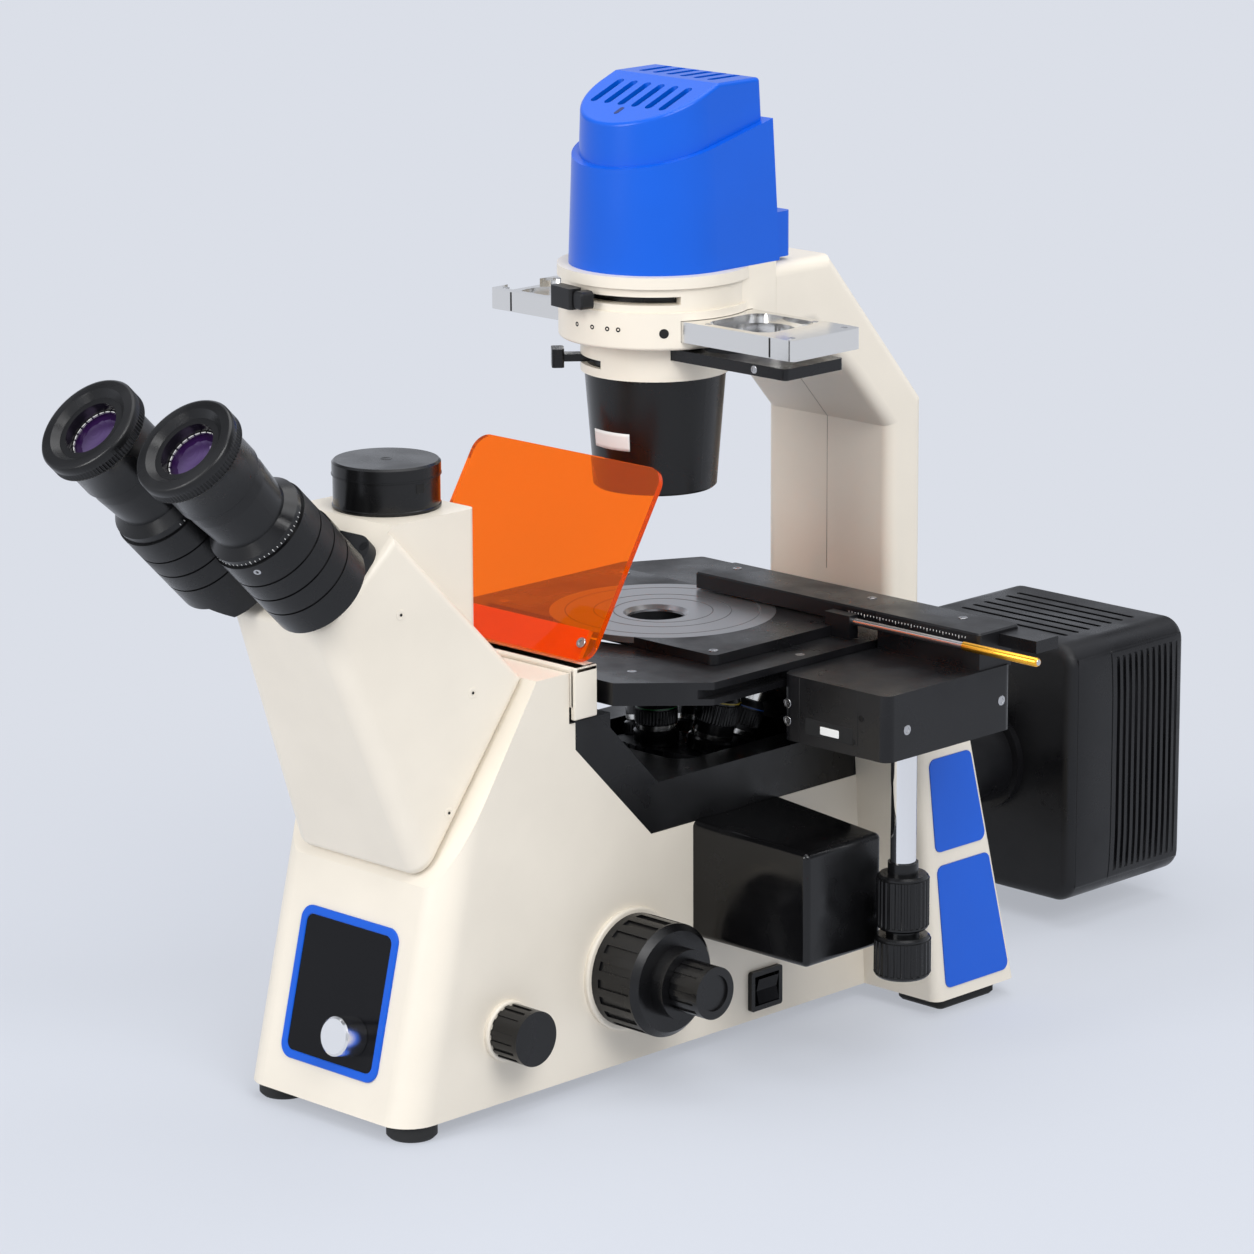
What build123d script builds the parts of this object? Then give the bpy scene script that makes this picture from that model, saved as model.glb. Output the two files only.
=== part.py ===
from build123d import *
import os
from math import atan2, cos, degrees, hypot, pi, radians, sin, sqrt, tan

os.makedirs("parts", exist_ok=True)

# An inverted fluorescence microscope. All lengths are millimetres and all angles degrees.
# Every size is given from the optical axis (x = y = 0) at the table (z = 0): +X to the user's right,
# +Y away from the user, +Z up. The footprint's centre is the origin of the frame, so the optical axis
# stands at axis_x, axis_y in it.

# Clearances
running = 0.05
slide_gap = 0.2
seat_gap = 0.1

# Feet
foot_height = 8
front_foot_radius = 12
front_foot_x = 44
front_foot_y = -208
rear_foot_length = 42
rear_foot_width = 30
rear_foot_x = 84
rear_foot_y = 121

# Base casting
base_half_width = 58
base_wall = 4
base_front = -224
base_rear = 149
front_lean = 13.7
front_corner_radius = 16
rest_bottom = 117
shoulder_front = -138.5
shoulder_rear = -117.5
shoulder_top = 206.5
well_bottom = 117.5
column_foot = 176
bottom_plate_thickness = 2.5

# Rear wings of the base
wing_half_width = 106
wing_top_half_width = 98.5
wing_front = 89
wing_top_front = 79
wing_top_rear = 118
wing_top = 156
wing_corner_radius = 5
inlay_depth = 1
inlay_height = 1.6
inlay_spans = ((6, 69), (76, 123.5), (130.5, 144))
inlay_front_margin = 7.3
inlay_rear_margin = 4.5

# Black well around the turret, open to both sides
well_inset = 0.4
well_half_width = base_half_width - well_inset
well_wall_top = 182
well_lip = 0.4
well_front = -113.5
well_front_ramp_top = 169
well_ramp_foot = -63
well_floor = 142
well_inner_front = -90
well_inner_ramp_top = 175
well_inner_foot = -58
well_rear = 82
well_inner_rear = 76
well_shelf_rear = 117
pit_half_width = 40
pit_front = -24
pit_rear = 66

# Front panel
panel_half_width = 33
panel_low = 17
panel_high = 90
panel_frame_width = 4
panel_frame_proud = 1.2
panel_corner = 7
brightness_knob_x = 14
brightness_knob_up = 36
brightness_knob_radius = 9.3
brightness_knob_length = 13
brightness_shaft_radius = 3

# Focus drive
focus_y = -79
focus_z = 54.6
escutcheon_radius = 30
escutcheon_height = 2.5
coarse_radius = 27.5
coarse_length = 28
coarse_neck_radius = 17
coarse_neck_length = 8
coarse_shaft_radius = 9
fine_radius = 12.7
fine_length = 18
fine_shaft_radius = 5

# Light-path knob
path_y = -160
path_z = 43
path_knob_radius = 13.2
path_knob_length = 17
path_shaft_radius = 3.5
path_escutcheon_radius = 14.5

# Rocker switch
rocker_y = 15
rocker_z = 23
rocker_length = 22
rocker_height = 20
rocker_rim = 2.5
rocker_depth = 12

# Side filter box
box_reach = 74
box_front = -34.5
box_rear = 18
box_low = 60
box_high = 116
box_wall = 2.5
box_flare = 9
box_rise = 2

# Pillar and arm
arm_half_width = 42
column_front = 123
column_rear = 148
arm_depth = 33
arm_bend_mid_y = 97
arm_bend_mid_drop = 63
arm_bend_low_drop = 92
arm_bend_high_y = 66
arm_slope_top_y = 80
arm_slope_drop = 80
arm_wall = 3.5
arm_corner_radius = 6

# Lamp ring housing
ring_joint_y = 40
band_bottom = 343
neck_radius = 36
neck_height = 17
band_radius = 46.5
band_height = 18
recess_radius = 45
recess_height = 11.5
flange_radius = 47
flange_height = 5.5
neck_bottom = band_bottom - neck_height
recess_bottom = band_bottom + band_height
flange_bottom = recess_bottom + recess_height
flange_top = flange_bottom + flange_height
arm_top = flange_top - 2
arm_underside = arm_top - arm_depth
arm_bend_low = arm_top - arm_bend_low_drop
arm_bend_mid_z = arm_top - arm_bend_mid_drop
arm_slope_low_z = arm_top - arm_slope_drop
ring_bore_radius = 30
lever_slot_height = 4
lever_slot_z = recess_bottom + 5.5
aperture_slot_z = neck_bottom + 6.2
field_slot_from = -112
field_slot_to = -30
field_lever_angle = -100
aperture_slot_from = -158
aperture_slot_to = -92
aperture_lever_angle = -132

# Lamp cover
cover_radius = 41.5
cover_rear = 43
cover_height = 88
cover_top = flange_top + cover_height
cover_wall = 2.5
cover_step_front = cover_top - 39
cover_step_rear = cover_top - 19
cover_step = 3.5
cover_roof_front = cover_top - 20
cover_roof_ridge_y = 8
vent_count = 6
vent_pitch = 9
vent_width = 4.2
vent_length = 21
vent_front_y = -9
vent_rear_y = 24
cover_draft = 2
sink_rim = 3
sink_plate = 4
fin_pitch = 7
fin_count = 7
fin_thickness = 2
fin_length = 40
fin_height = 38
sink_lamp_radius = 9
sink_lamp_height = 5
back_box_half_width = 36
back_box_rear = 57
back_box_height = 22

# Condenser
cone_length = 57
cone_seat_height = 43
cone_bottom = neck_bottom - cone_length
cone_bottom_radius = 29.7
cone_top_radius = 34.2
condenser_lens_radius = 26

# Sliders
filter_slider_width = 47
filter_slider_height = 10
filter_slider_bottom = band_bottom + 4
filter_slider_left = -90
filter_slider_right = 112
filter_pitch = 70
filter_hole_radius = 16
filter_pocket_depth = 3
phase_slider_width = 40
phase_slider_height = 5.5
phase_slider_bottom = band_bottom - 6.5
phase_slider_left = -27
phase_slider_right = 104
phase_pitch = 50
phase_hole_radius = 13

# Observation head
head_gap = 0.3
head_face_low = 245
slope_hole_radius = 13
light_hole_low = 5
light_hole_reach = 60
head_face_high = 287
head_face_y = -237.3
head_face_z = 254.2
head_half_width = 42
head_flare = 8.5
head_lean_in = 1.07
head_wall = 3.5
head_block_half_width = 33
head_block_rear = -152
head_block_height = 62
head_block_foot = head_face_high - head_block_height
head_corner_radius = 11
head_rim_radius = 4
head_cheek_y = -195.5
head_cheek_z = 213.5
head_reach = 400
eye_window_radius = 14
port_y = -177
port_radius = 24.8
port_bore_radius = 19
port_height = 15
cap_height = 7
cap_radius = 25.2
cap_spigot = 6
prism_half = 13
prism_clearance = 7
prism_z = head_block_foot + prism_clearance + prism_half
prism_ring_radius = 21
prism_ring_bore = 10
mirror_half = 17
tube_lens_radius = 15

# Binocular tubes
eye_half_distance = 32.4
eye_hinge_up = 16.7
eye_length = 126
binocular_plate = 6
arm_disc = 4.8
arm_disc_radius = 22
arm_body_radius = 24
arm_body_top = 66
arm_grooves = (30, 41, 52)
fairing_height = 26
fairing_foot = 3
arm_cut_high = 42
arm_cut_low = 4
bore_foot = 46
light_passage_radius = 6
groove_depth = 0.6
groove_width = 1
hinge_pin_radius = 6
barrel_radius = 15
barrel_bore = 12.5
neck_tube_radius = 18.5
dioptre_length = 28
dioptre_low = eye_length - dioptre_length
neck_length = dioptre_low - arm_body_top
dioptre_radius = 21
eyecup_radius = 25
eyecup_length = 10

# Stage
stage_top = 205
plate_top = 199.8
plate_thickness = 11
plate_overhang = 42.5
plate_half_width = base_half_width + plate_overhang
plate_front = -98
plate_rear = 117
plate_chamfer = 33
rear_chamfer_x = 20
rear_chamfer_y = 37
plate_corner = 3
plate_opening = 46
pad_half_width = 48
tongue_z = 194
tongue_height = 4
tongue_depth = 5
upper_left = -75
upper_right = 80
upper_front = -43
upper_rear = 55
upper_corner = 4
upper_bore = 50
lug_length = 12
lug_width = 6
insert_radius = 55
insert_opening = 14
insert_thickness = 3
insert_y = 5
insert_bevel = 2
rail_front = 47
rail_rear = 76
rail_left = -19
rail_top = 214
rail_thickness = 8
end_block_length = 23
end_block_width = 16
end_block_y = 69
drive_gap = 1
drive_width = 66.5
drive_left = plate_half_width + drive_gap
drive_right = drive_left + drive_width
drive_front = -19
drive_rear = 70
drive_bottom = 164
drive_top = 196
drive_wall = 3
rail_inset = 1
rail_right = drive_right - rail_inset
drive_corner = 5
rod_y = 41.5
rod_z = 208.6
rod_radius = 1.8
rod_proud = 40
rod_tip = drive_right + rod_proud
post_inset = 46.5
post_x = drive_left + post_inset
post_y = 15.5
post_radius = 6.2
post_bottom = 106
stem_radius = 4
x_knob_top = 100
x_knob_length = 27
x_knob_radius = 12.2
y_knob_top = 70
y_knob_length = 20.5
y_knob_radius = 13.2

# Shield
shield_half_width = 62.7
shield_thickness = 3
shield_lean = 31.6
shield_foot_y = -110
shield_foot_z = 211
shield_height = 98
shield_corner = 9
bracket_front = -117
bracket_rear = -102
bracket_sheet = 3
bracket_lip = 17
bracket_half_width = 61.3
bracket_top = 209
bracket_bottom = 184
bracket_flange = 190
lip_half_width = 54
lip_root = 4

# Turret and objectives
turret_tilt = 11
turret_pitch_radius = 22
turret_seat = 140
turret_radius = 35
turret_rim = 9
objective_count = 5
objective_radius = 10.2
objective_collar = 11.2
objective_lengths = (46, 34, 50, 40, 48)
active_place = 1
objective_thread = 9
objective_tip = 5
turret_thread_depth = 5
turret_base = 100
turret_bevel = 4
turret_crown = 8
turret_pivot = 5
carrier_y = 78
carrier_width = 40
carrier_plate_foot = 92
carrier_plate_radius = 30
carrier_low = 100
carrier_bar_height = 10
carrier_bar_front = 42
carrier_back = 8
carrier_slide_drop = 45
light_hole_radius = 8
guide_depth = 10
guide_width = 24
guide_top = 113

# Rear lamp housing
rear_lamp_half_width = 60
rear_lamp_front = 245
rear_lamp_rear = 338
rear_lamp_bottom = 14
rear_lamp_top = 152
rear_lamp_split = 291
rear_lamp_wall = 3
rear_lamp_corner = 12
louvre_count = 12
louvre_pitch = 7
louvre_width = 3
louvre_length = 70
louvre_middle = 84
top_louvre_pitch = 9
top_louvre_count = 7
top_louvre_length = 80
rear_lamp_edge = 6
arc_lamp_y = 292
tube_radius = 24
tube_z = 84
tube_wall = 3
tube_flange = 4

# Mains inlet
inlet_x = -34
inlet_z = 30
inlet_width = 30
inlet_height = 22
inlet_flange = 2
inlet_depth = 18

# The optical axis in the frame: the footprint reaches from the left fine knob to the rod's tip and from
# the eyecups to the rear of the lamp housing
knob_reach = base_half_width + escutcheon_height + coarse_length + coarse_neck_length + fine_length + 2 * slide_gap
eyecup_reach = (eye_length + eyecup_radius) * sqrt(0.5) - head_face_y
axis_x = (knob_reach - rod_tip) / 2
axis_y = (eyecup_reach - rear_lamp_rear) / 2

# Working planes: the ground seen from above, the side view (y, z) and the front view (x, z)
ground = Plane((axis_x, axis_y, 0))
side = Plane((axis_x, axis_y, 0), x_dir=(0, 1, 0), z_dir=(1, 0, 0))
front = Plane((axis_x, axis_y, 0), x_dir=(1, 0, 0), z_dir=(0, -1, 0))

eye_face = Plane((axis_x, axis_y + head_face_y, head_face_z), x_dir=(1, 0, 0),
                 z_dir=(0, -sqrt(0.5), sqrt(0.5)))
eye_axis = Axis(eye_face.origin, eye_face.z_dir)
optical_axis = Axis((axis_x, axis_y, 0), (0, 0, 1))


def side_at(x):
    """The side view's plane at a distance x to the right of the optical axis."""
    return side.offset(x)


def front_at(y):
    """The front view's plane at a depth y behind the optical axis."""
    return front.offset(-y)


def knurl(radius, count, depth, length, plane):
    """Lengthwise grip grooves cut round a knob, as the tools that cut them."""
    with BuildPart() as grooves:
        with BuildSketch(plane):
            with PolarLocations(radius, count):
                Rectangle(2 * depth, pi * radius / count)
        extrude(amount=length)
    return grooves.part


def front_face_y(z):
    """Depth of the base's leaning front face at a height."""
    return base_front + (z - foot_height) * tan(radians(front_lean))


face = Plane((axis_x, axis_y + base_front, foot_height), x_dir=(1, 0, 0),
             z_dir=(0, -cos(radians(front_lean)), sin(radians(front_lean))))

face_axis = Axis(face.origin, face.z_dir)


def inlays(thickness, inset):
    """Blocks of the six wing inlays, standing in pockets of the wings' outer faces."""
    lean = atan2(wing_half_width - wing_top_half_width, wing_top - foot_height)
    front_slope = (wing_top_front - wing_front) / (wing_top - foot_height)
    rear_slope = (wing_top_rear - base_rear) / (wing_top - foot_height)
    with BuildPart() as blocks:
        for sign in (1, -1):
            wing_face = Plane((axis_x + sign * wing_half_width, axis_y, foot_height), x_dir=(0, sign, 0),
                              z_dir=(sign * cos(lean), 0, sin(lean)))
            with BuildSketch(wing_face.offset(-inlay_depth)):
                for low, high in inlay_spans:
                    with BuildLine():
                        Polyline(
                            (sign * (wing_front + front_slope * low + inlay_front_margin), low),
                            (sign * (base_rear + rear_slope * low - inlay_rear_margin), low),
                            (sign * (base_rear + rear_slope * high - inlay_rear_margin), high),
                            (sign * (wing_front + front_slope * high + inlay_front_margin), high), close=True)
                    make_face()
                fillet(vertices(), 4)
                offset(amount=-inset, kind=Kind.INTERSECTION)
            extrude(amount=thickness)
    return blocks.part


def lens_profile(radius, seat, edge, bulge):
    """Half section of a lens, flat below and curved above, as radius and height pairs."""
    sphere = (radius ** 2 + bulge ** 2) / (2 * bulge)
    steps = [radius * (1 - step / 6) for step in range(7)]
    crown = [(r, seat + edge + bulge - sphere + sqrt(sphere ** 2 - r ** 2)) for r in steps]
    return ((0, seat), (radius, seat), *crown)


# Feet
with BuildPart(ground) as feet:
    with Locations((front_foot_x, front_foot_y), (-front_foot_x, front_foot_y)):
        Cylinder(front_foot_radius, foot_height, align=(Align.CENTER, Align.CENTER, Align.MIN))
    with Locations((rear_foot_x, rear_foot_y), (-rear_foot_x, rear_foot_y)):
        Box(rear_foot_width, rear_foot_length, foot_height, align=(Align.CENTER, Align.CENTER, Align.MIN))
    fillet(feet.edges().filter_by(Axis.Z), 4)
    chamfer(feet.faces().group_by(Axis.Z)[0].edges(), 1.5)
feet.part.label = "feet"
export_step(feet.part, "parts/feet.step")

# Base casting: a hollow shell with a leaning front, the slope that carries the head, the open well for
# the turret and two flared wings behind
base_outline = (
    (base_front, foot_height),
    (front_face_y(rest_bottom), rest_bottom),
    (shoulder_front, shoulder_top),
    (shoulder_rear, shoulder_top),
    (shoulder_rear, well_wall_top),
    (well_front, well_wall_top),
    (well_front, well_front_ramp_top),
    (well_ramp_foot, well_bottom),
    (well_rear, well_bottom),
    (well_rear, column_foot),
    (base_rear, column_foot),
    (base_rear, foot_height),
)
above_well = (
    (shoulder_rear, shoulder_top + 1),
    (shoulder_rear, well_wall_top),
    (well_front, well_wall_top),
    (well_front, well_front_ramp_top),
    (well_ramp_foot, well_bottom),
    (well_rear, well_bottom),
    (well_rear, shoulder_top + 1),
)


def wings(wall):
    """Both flared wings as one loft, inset by a wall thickness for the hollow."""
    low, high = foot_height - (1 if wall else 0), wing_top - wall
    with BuildPart() as loft_form:
        with BuildSketch(ground.offset(low)):
            with Locations((0, (wing_front + base_rear) / 2)):
                Rectangle(2 * (wing_half_width - wall), base_rear - wing_front - 2 * wall)
        with BuildSketch(ground.offset(high)):
            with Locations((0, (wing_top_front + wing_top_rear) / 2)):
                Rectangle(2 * (wing_top_half_width - wall), wing_top_rear - wing_top_front - 2 * wall)
        loft()
    return loft_form.part


def base_hollow():
    """The room inside the base casting, with rounded front corners and open below."""
    with BuildPart() as room:
        with BuildSketch(side_at(base_wall - base_half_width)):
            with BuildLine():
                Polyline(*base_outline, close=True)
            make_face()
            offset(amount=-base_wall, kind=Kind.INTERSECTION)
        extrude(amount=2 * (base_half_width - base_wall))
        floor = room.faces().sort_by(Axis.Z)[0]
        extrude(floor, amount=base_wall + 1)
        corners = [e for e in room.edges() if abs(e.center().Y - axis_y - front_face_y((foot_height + rest_bottom) / 2)) < 2 * base_wall
                   and e.length > 0.8 * (rest_bottom - foot_height - 2 * base_wall)]
        fillet(corners, front_corner_radius - base_wall)
    return room.part


with BuildPart() as base:
    with BuildSketch(side_at(-base_half_width)):
        with BuildLine():
            Polyline(*base_outline, close=True)
        make_face()
    extrude(amount=2 * base_half_width)
    front_corners = [e for e in base.edges() if abs(e.center().Y - axis_y - front_face_y((foot_height + rest_bottom) / 2)) < 1
                     and abs(abs(e.center().X - axis_x) - base_half_width) < 0.1]
    fillet(front_corners, front_corner_radius)
    add(wings(0))
    outer_wing_edges = [e for e in base.edges() if abs(e.center().X - axis_x) > base_half_width + 30
                        and abs(e.center().Z - (foot_height + wing_top) / 2) < 2]
    fillet(outer_wing_edges, wing_corner_radius)
    # The well goes right through from side to side
    with BuildSketch(side_at(-base_half_width)):
        with BuildLine():
            Polyline(*above_well, close=True)
        make_face()
    extrude(amount=2 * base_half_width, mode=Mode.SUBTRACT)
    # Hollow inside, open below
    add(base_hollow(), mode=Mode.SUBTRACT)
    add(wings(base_wall), mode=Mode.SUBTRACT)
    # Opening under the turret
    with BuildSketch(ground.offset(well_bottom + 1)):
        with Locations((0, (pit_front + pit_rear) / 2)):
            RectangleRounded(2 * pit_half_width, pit_rear - pit_front, 12)
    extrude(amount=-2 * base_wall, mode=Mode.SUBTRACT)
    # Light passes up into the head through the slope
    with BuildSketch(ground.offset(rest_bottom + light_hole_low)):
        with Locations((0, port_y)):
            Circle(slope_hole_radius)
    extrude(amount=light_hole_reach, mode=Mode.SUBTRACT)
    # Bores for the focus and light-path shafts
    with BuildSketch(side_at(-base_half_width - 1)):
        with Locations((focus_y, focus_z)):
            Circle(coarse_shaft_radius + running)
    extrude(amount=2 * base_half_width + 2, mode=Mode.SUBTRACT)
    with BuildSketch(side_at(base_half_width + 1)):
        with Locations((path_y, path_z)):
            Circle(path_shaft_radius + running)
        with Locations((rocker_y, rocker_z)):
            Rectangle(rocker_length - 2 * rocker_rim + 2 * seat_gap, rocker_height - 2 * rocker_rim + 2 * seat_gap)
        with Locations(((box_front + box_rear) / 2, (box_low + box_high) / 2)):
            Circle(15)
    extrude(amount=-base_wall - 2, mode=Mode.SUBTRACT)
    # Pockets of the wing inlays and the bore of the brightness knob's shaft
    add(inlays(inlay_depth + 1, 0), mode=Mode.SUBTRACT)
    with BuildSketch(face.offset(1)):
        with Locations((brightness_knob_x, brightness_knob_up)):
            Circle(brightness_shaft_radius + running)
    extrude(amount=-base_wall - 3, mode=Mode.SUBTRACT)
    # Rear openings for the illuminator tube and the mains inlet
    with BuildSketch(front_at(base_rear + 1)):
        with Locations((0, tube_z)):
            Circle(tube_radius - 6)
        with Locations((inlet_x, inlet_z)):
            Rectangle(inlet_width - 4 + 2 * seat_gap, inlet_height - 4 + 2 * seat_gap)
    extrude(amount=base_wall + 2, mode=Mode.SUBTRACT)
base.part.label = "base_casting"
export_step(base.part, "parts/base_casting.step")

# Bottom plate, let in between the walls
plate_edge = base_wall + seat_gap
with BuildPart() as bottom_plate:
    with BuildSketch(ground.offset(foot_height)):
        with Locations((0, (front_face_y(foot_height) + base_rear) / 2)):
            RectangleRounded(2 * (base_half_width - plate_edge), base_rear - base_front - 2 * plate_edge - 3,
                             front_corner_radius - base_wall)
        with Locations((0, (wing_front + base_rear) / 2)):
            Rectangle(2 * (wing_half_width - plate_edge - 0.5), base_rear - wing_front - 2 * plate_edge - 1.5)
    extrude(amount=bottom_plate_thickness)
bottom_plate.part.label = "bottom_plate"
export_step(bottom_plate.part, "parts/bottom_plate.step")

# Blue inlays on the outer faces of the wings, let into shallow pockets
with BuildPart() as wing_inlays:
    add(inlays(inlay_height, seat_gap))
wing_inlays.part.label = "wing_inlays"
export_step(wing_inlays.part, "parts/wing_inlays.step")

# Control panel: a plate and its raised frame on the leaning front face
panel_middle = (panel_low + panel_high) / 2
panel_length = panel_high - panel_low
with BuildPart() as panel_frame:
    with BuildSketch(face):
        with Locations((0, panel_middle)):
            RectangleRounded(2 * panel_half_width, panel_length, panel_corner)
            RectangleRounded(2 * (panel_half_width - panel_frame_width), panel_length - 2 * panel_frame_width,
                             panel_corner - 3, mode=Mode.SUBTRACT)
    extrude(amount=panel_frame_proud)
    chamfer(panel_frame.faces().sort_by(face_axis)[-1].edges(), 0.4)
panel_frame.part.label = "panel_frame"
export_step(panel_frame.part, "parts/panel_frame.step")

with BuildPart(face) as control_panel:
    with BuildSketch(face):
        with Locations((0, panel_middle)):
            RectangleRounded(2 * (panel_half_width - panel_frame_width - seat_gap),
                             panel_length - 2 * (panel_frame_width + seat_gap), panel_corner - 3)
    extrude(amount=panel_frame_proud / 2)
    with Locations((brightness_knob_x, brightness_knob_up)):
        Hole(brightness_shaft_radius + running)
control_panel.part.label = "control_panel"
export_step(control_panel.part, "parts/control_panel.step")

# Brightness knob on its shaft, which turns in the front wall
knob_foot = face.offset(panel_frame_proud / 2 + slide_gap)
with BuildPart(knob_foot) as brightness_knob:
    with Locations((brightness_knob_x, brightness_knob_up)):
        Cylinder(brightness_knob_radius, brightness_knob_length, align=(Align.CENTER, Align.CENTER, Align.MIN))
        Cylinder(brightness_shaft_radius, base_wall + 6, align=(Align.CENTER, Align.CENTER, Align.MAX))
    rim = brightness_knob.edges().filter_by(GeomType.CIRCLE).sort_by(face_axis)[-1]
    chamfer(rim, 1)
brightness_knob.part.label = "brightness_knob"
export_step(brightness_knob.part, "parts/brightness_knob.step")

# Nosepiece well: a cast trough with a sloping front and a shelf behind, open at both sides
with BuildPart() as well:
    with BuildSketch(side_at(-well_half_width)):
        with BuildLine():
            Polyline(
                (shoulder_rear, well_wall_top), (well_front, well_wall_top), (well_front, well_front_ramp_top),
                (well_ramp_foot, well_bottom), (well_rear, well_bottom), (well_rear, column_foot),
                (well_shelf_rear, column_foot), (well_shelf_rear, well_wall_top),
                (well_inner_rear, well_wall_top), (well_inner_rear, well_floor),
                (well_inner_foot, well_floor), (well_inner_front, well_inner_ramp_top),
                (well_inner_front, well_wall_top + well_lip), (shoulder_rear, well_wall_top + well_lip), close=True)
        make_face()
    extrude(amount=2 * well_half_width)
    with BuildSketch(ground.offset(well_floor)):
        with Locations((0, (pit_front + pit_rear) / 2)):
            RectangleRounded(2 * pit_half_width, pit_rear - pit_front, 12)
    extrude(amount=well_bottom - well_floor - 1, mode=Mode.SUBTRACT)
well.part.label = "nosepiece_well"
export_step(well.part, "parts/nosepiece_well.step")


def filter_box(inset):
    """The side filter box's tapering block, inset by a wall for its hollow."""
    reach = box_reach - inset
    with BuildPart() as block:
        with BuildSketch(side_at(base_half_width)):
            with Locations(((box_front + box_rear + box_flare) / 2, (box_low + box_high + box_rise) / 2)):
                Rectangle(box_rear + box_flare - box_front - 2 * inset, box_high + box_rise - box_low - 2 * inset)
        with BuildSketch(side_at(base_half_width + reach)):
            with Locations(((box_front + box_rear) / 2, (box_low + box_high) / 2)):
                Rectangle(box_rear - box_front - 2 * inset, box_high - box_low - 2 * inset)
        loft()
    return block.part


# Side filter box, open towards the base
with BuildPart() as side_box:
    add(filter_box(0))
    fillet([e for e in side_box.edges() if e.center().X - axis_x > base_half_width + 1], 3)
    add(filter_box(box_wall), mode=Mode.SUBTRACT)
side_box.part.label = "side_filter_box"
export_step(side_box.part, "parts/side_filter_box.step")

# Rocker switch: a bezel on the side wall and the rocker on its pivot
with BuildPart() as rocker_bezel:
    with BuildSketch(side_at(base_half_width)):
        with Locations((rocker_y, rocker_z)):
            RectangleRounded(rocker_length, rocker_height, 1.5)
            Rectangle(rocker_length - 2 * rocker_rim, rocker_height - 2 * rocker_rim, mode=Mode.SUBTRACT)
    extrude(amount=rocker_rim)
    with BuildSketch(side_at(base_half_width)):
        with Locations((rocker_y, rocker_z)):
            Rectangle(rocker_length - 2 * rocker_rim + seat_gap, rocker_height - 2 * rocker_rim + seat_gap)
            Rectangle(rocker_length - 2 * rocker_rim - 2, rocker_height - 2 * rocker_rim - 1.2, mode=Mode.SUBTRACT)
    extrude(amount=-rocker_depth)
rocker_bezel.part.label = "rocker_bezel"
export_step(rocker_bezel.part, "parts/rocker_bezel.step")

rocker_half = rocker_height / 2 - rocker_rim - 1.2
rocker_plane = front_at(rocker_y).offset(-rocker_length / 2 + rocker_rim + 1.4)
with BuildPart() as rocker:
    with BuildSketch(rocker_plane) as rocker_profile:
        with BuildLine():
            Polyline((-4, 2 - rocker_half), (4.2, -rocker_half), (2.6, 0), (4.2, rocker_half),
                     (-4, rocker_half - 2), close=True)
        make_face()
    extrude(amount=rocker_length - 2 * rocker_rim - 2.8)
rocker.part = Pos(base_half_width - 0.5, 0, rocker_z) * rocker.part
rocker.part.label = "rocker"
export_step(rocker.part, "parts/rocker.step")


def knob_side(sign):
    """Plane on the base's right (+1) or left (-1) side face, its normal pointing outwards."""
    return Plane((axis_x + sign * base_half_width, axis_y, 0), x_dir=(0, sign, 0), z_dir=(sign, 0, 0))


# Escutcheon rings behind the focus knobs and the light-path knob
with BuildPart() as escutcheons:
    for sign in (1, -1):
        with BuildSketch(knob_side(sign)):
            with Locations((sign * focus_y, focus_z)):
                Circle(escutcheon_radius)
                Circle(coarse_shaft_radius + 0.3, mode=Mode.SUBTRACT)
        extrude(amount=escutcheon_height)
    with BuildSketch(knob_side(1)):
        with Locations((path_y, path_z)):
            Circle(path_escutcheon_radius)
            Circle(path_shaft_radius + 0.3, mode=Mode.SUBTRACT)
    extrude(amount=escutcheon_height)
    outer_rims = [e for e in escutcheons.edges().filter_by(GeomType.CIRCLE)
                  if e.radius > path_escutcheon_radius - 1 and abs(e.center().X - axis_x) > base_half_width + 1]
    fillet(outer_rims, 1.2)
escutcheons.part.label = "knob_escutcheons"
export_step(escutcheons.part, "parts/knob_escutcheons.step")

# Coarse knobs: one pair on the hollow shaft that crosses the base
coarse_foot = escutcheon_height + slide_gap
coarse_outer = coarse_foot + coarse_length + coarse_neck_length
with BuildPart() as coarse:
    for sign in (1, -1):
        with BuildSketch(knob_side(sign).offset(coarse_foot)):
            with Locations((sign * focus_y, focus_z)):
                Circle(coarse_radius)
        extrude(amount=coarse_length)
        rims = [e for e in coarse.edges().filter_by(GeomType.CIRCLE)
                if abs(sign * (e.center().X - axis_x) - base_half_width - coarse_foot - coarse_length) < 0.1]
        chamfer(rims, 3)
        grip = Plane(origin=(axis_x + sign * (base_half_width + coarse_foot + 4), axis_y + focus_y, focus_z),
                     z_dir=(sign, 0, 0))
        add(knurl(coarse_radius, 20, 1.1, coarse_length - 8, grip), mode=Mode.SUBTRACT)
        with BuildSketch(knob_side(sign).offset(coarse_foot + coarse_length)):
            with Locations((sign * focus_y, focus_z)):
                Circle(coarse_neck_radius)
        extrude(amount=coarse_neck_length)
    with BuildSketch(side_at(-base_half_width - coarse_outer)):
        with Locations((focus_y, focus_z)):
            Circle(coarse_shaft_radius)
    extrude(amount=2 * (base_half_width + coarse_outer))
    with BuildSketch(side_at(-base_half_width - coarse_outer - 1)):
        with Locations((focus_y, focus_z)):
            Circle(fine_shaft_radius + running)
    extrude(amount=2 * (base_half_width + coarse_outer + 1), mode=Mode.SUBTRACT)
coarse.part.label = "coarse_knobs"
export_step(coarse.part, "parts/coarse_knobs.step")

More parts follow.
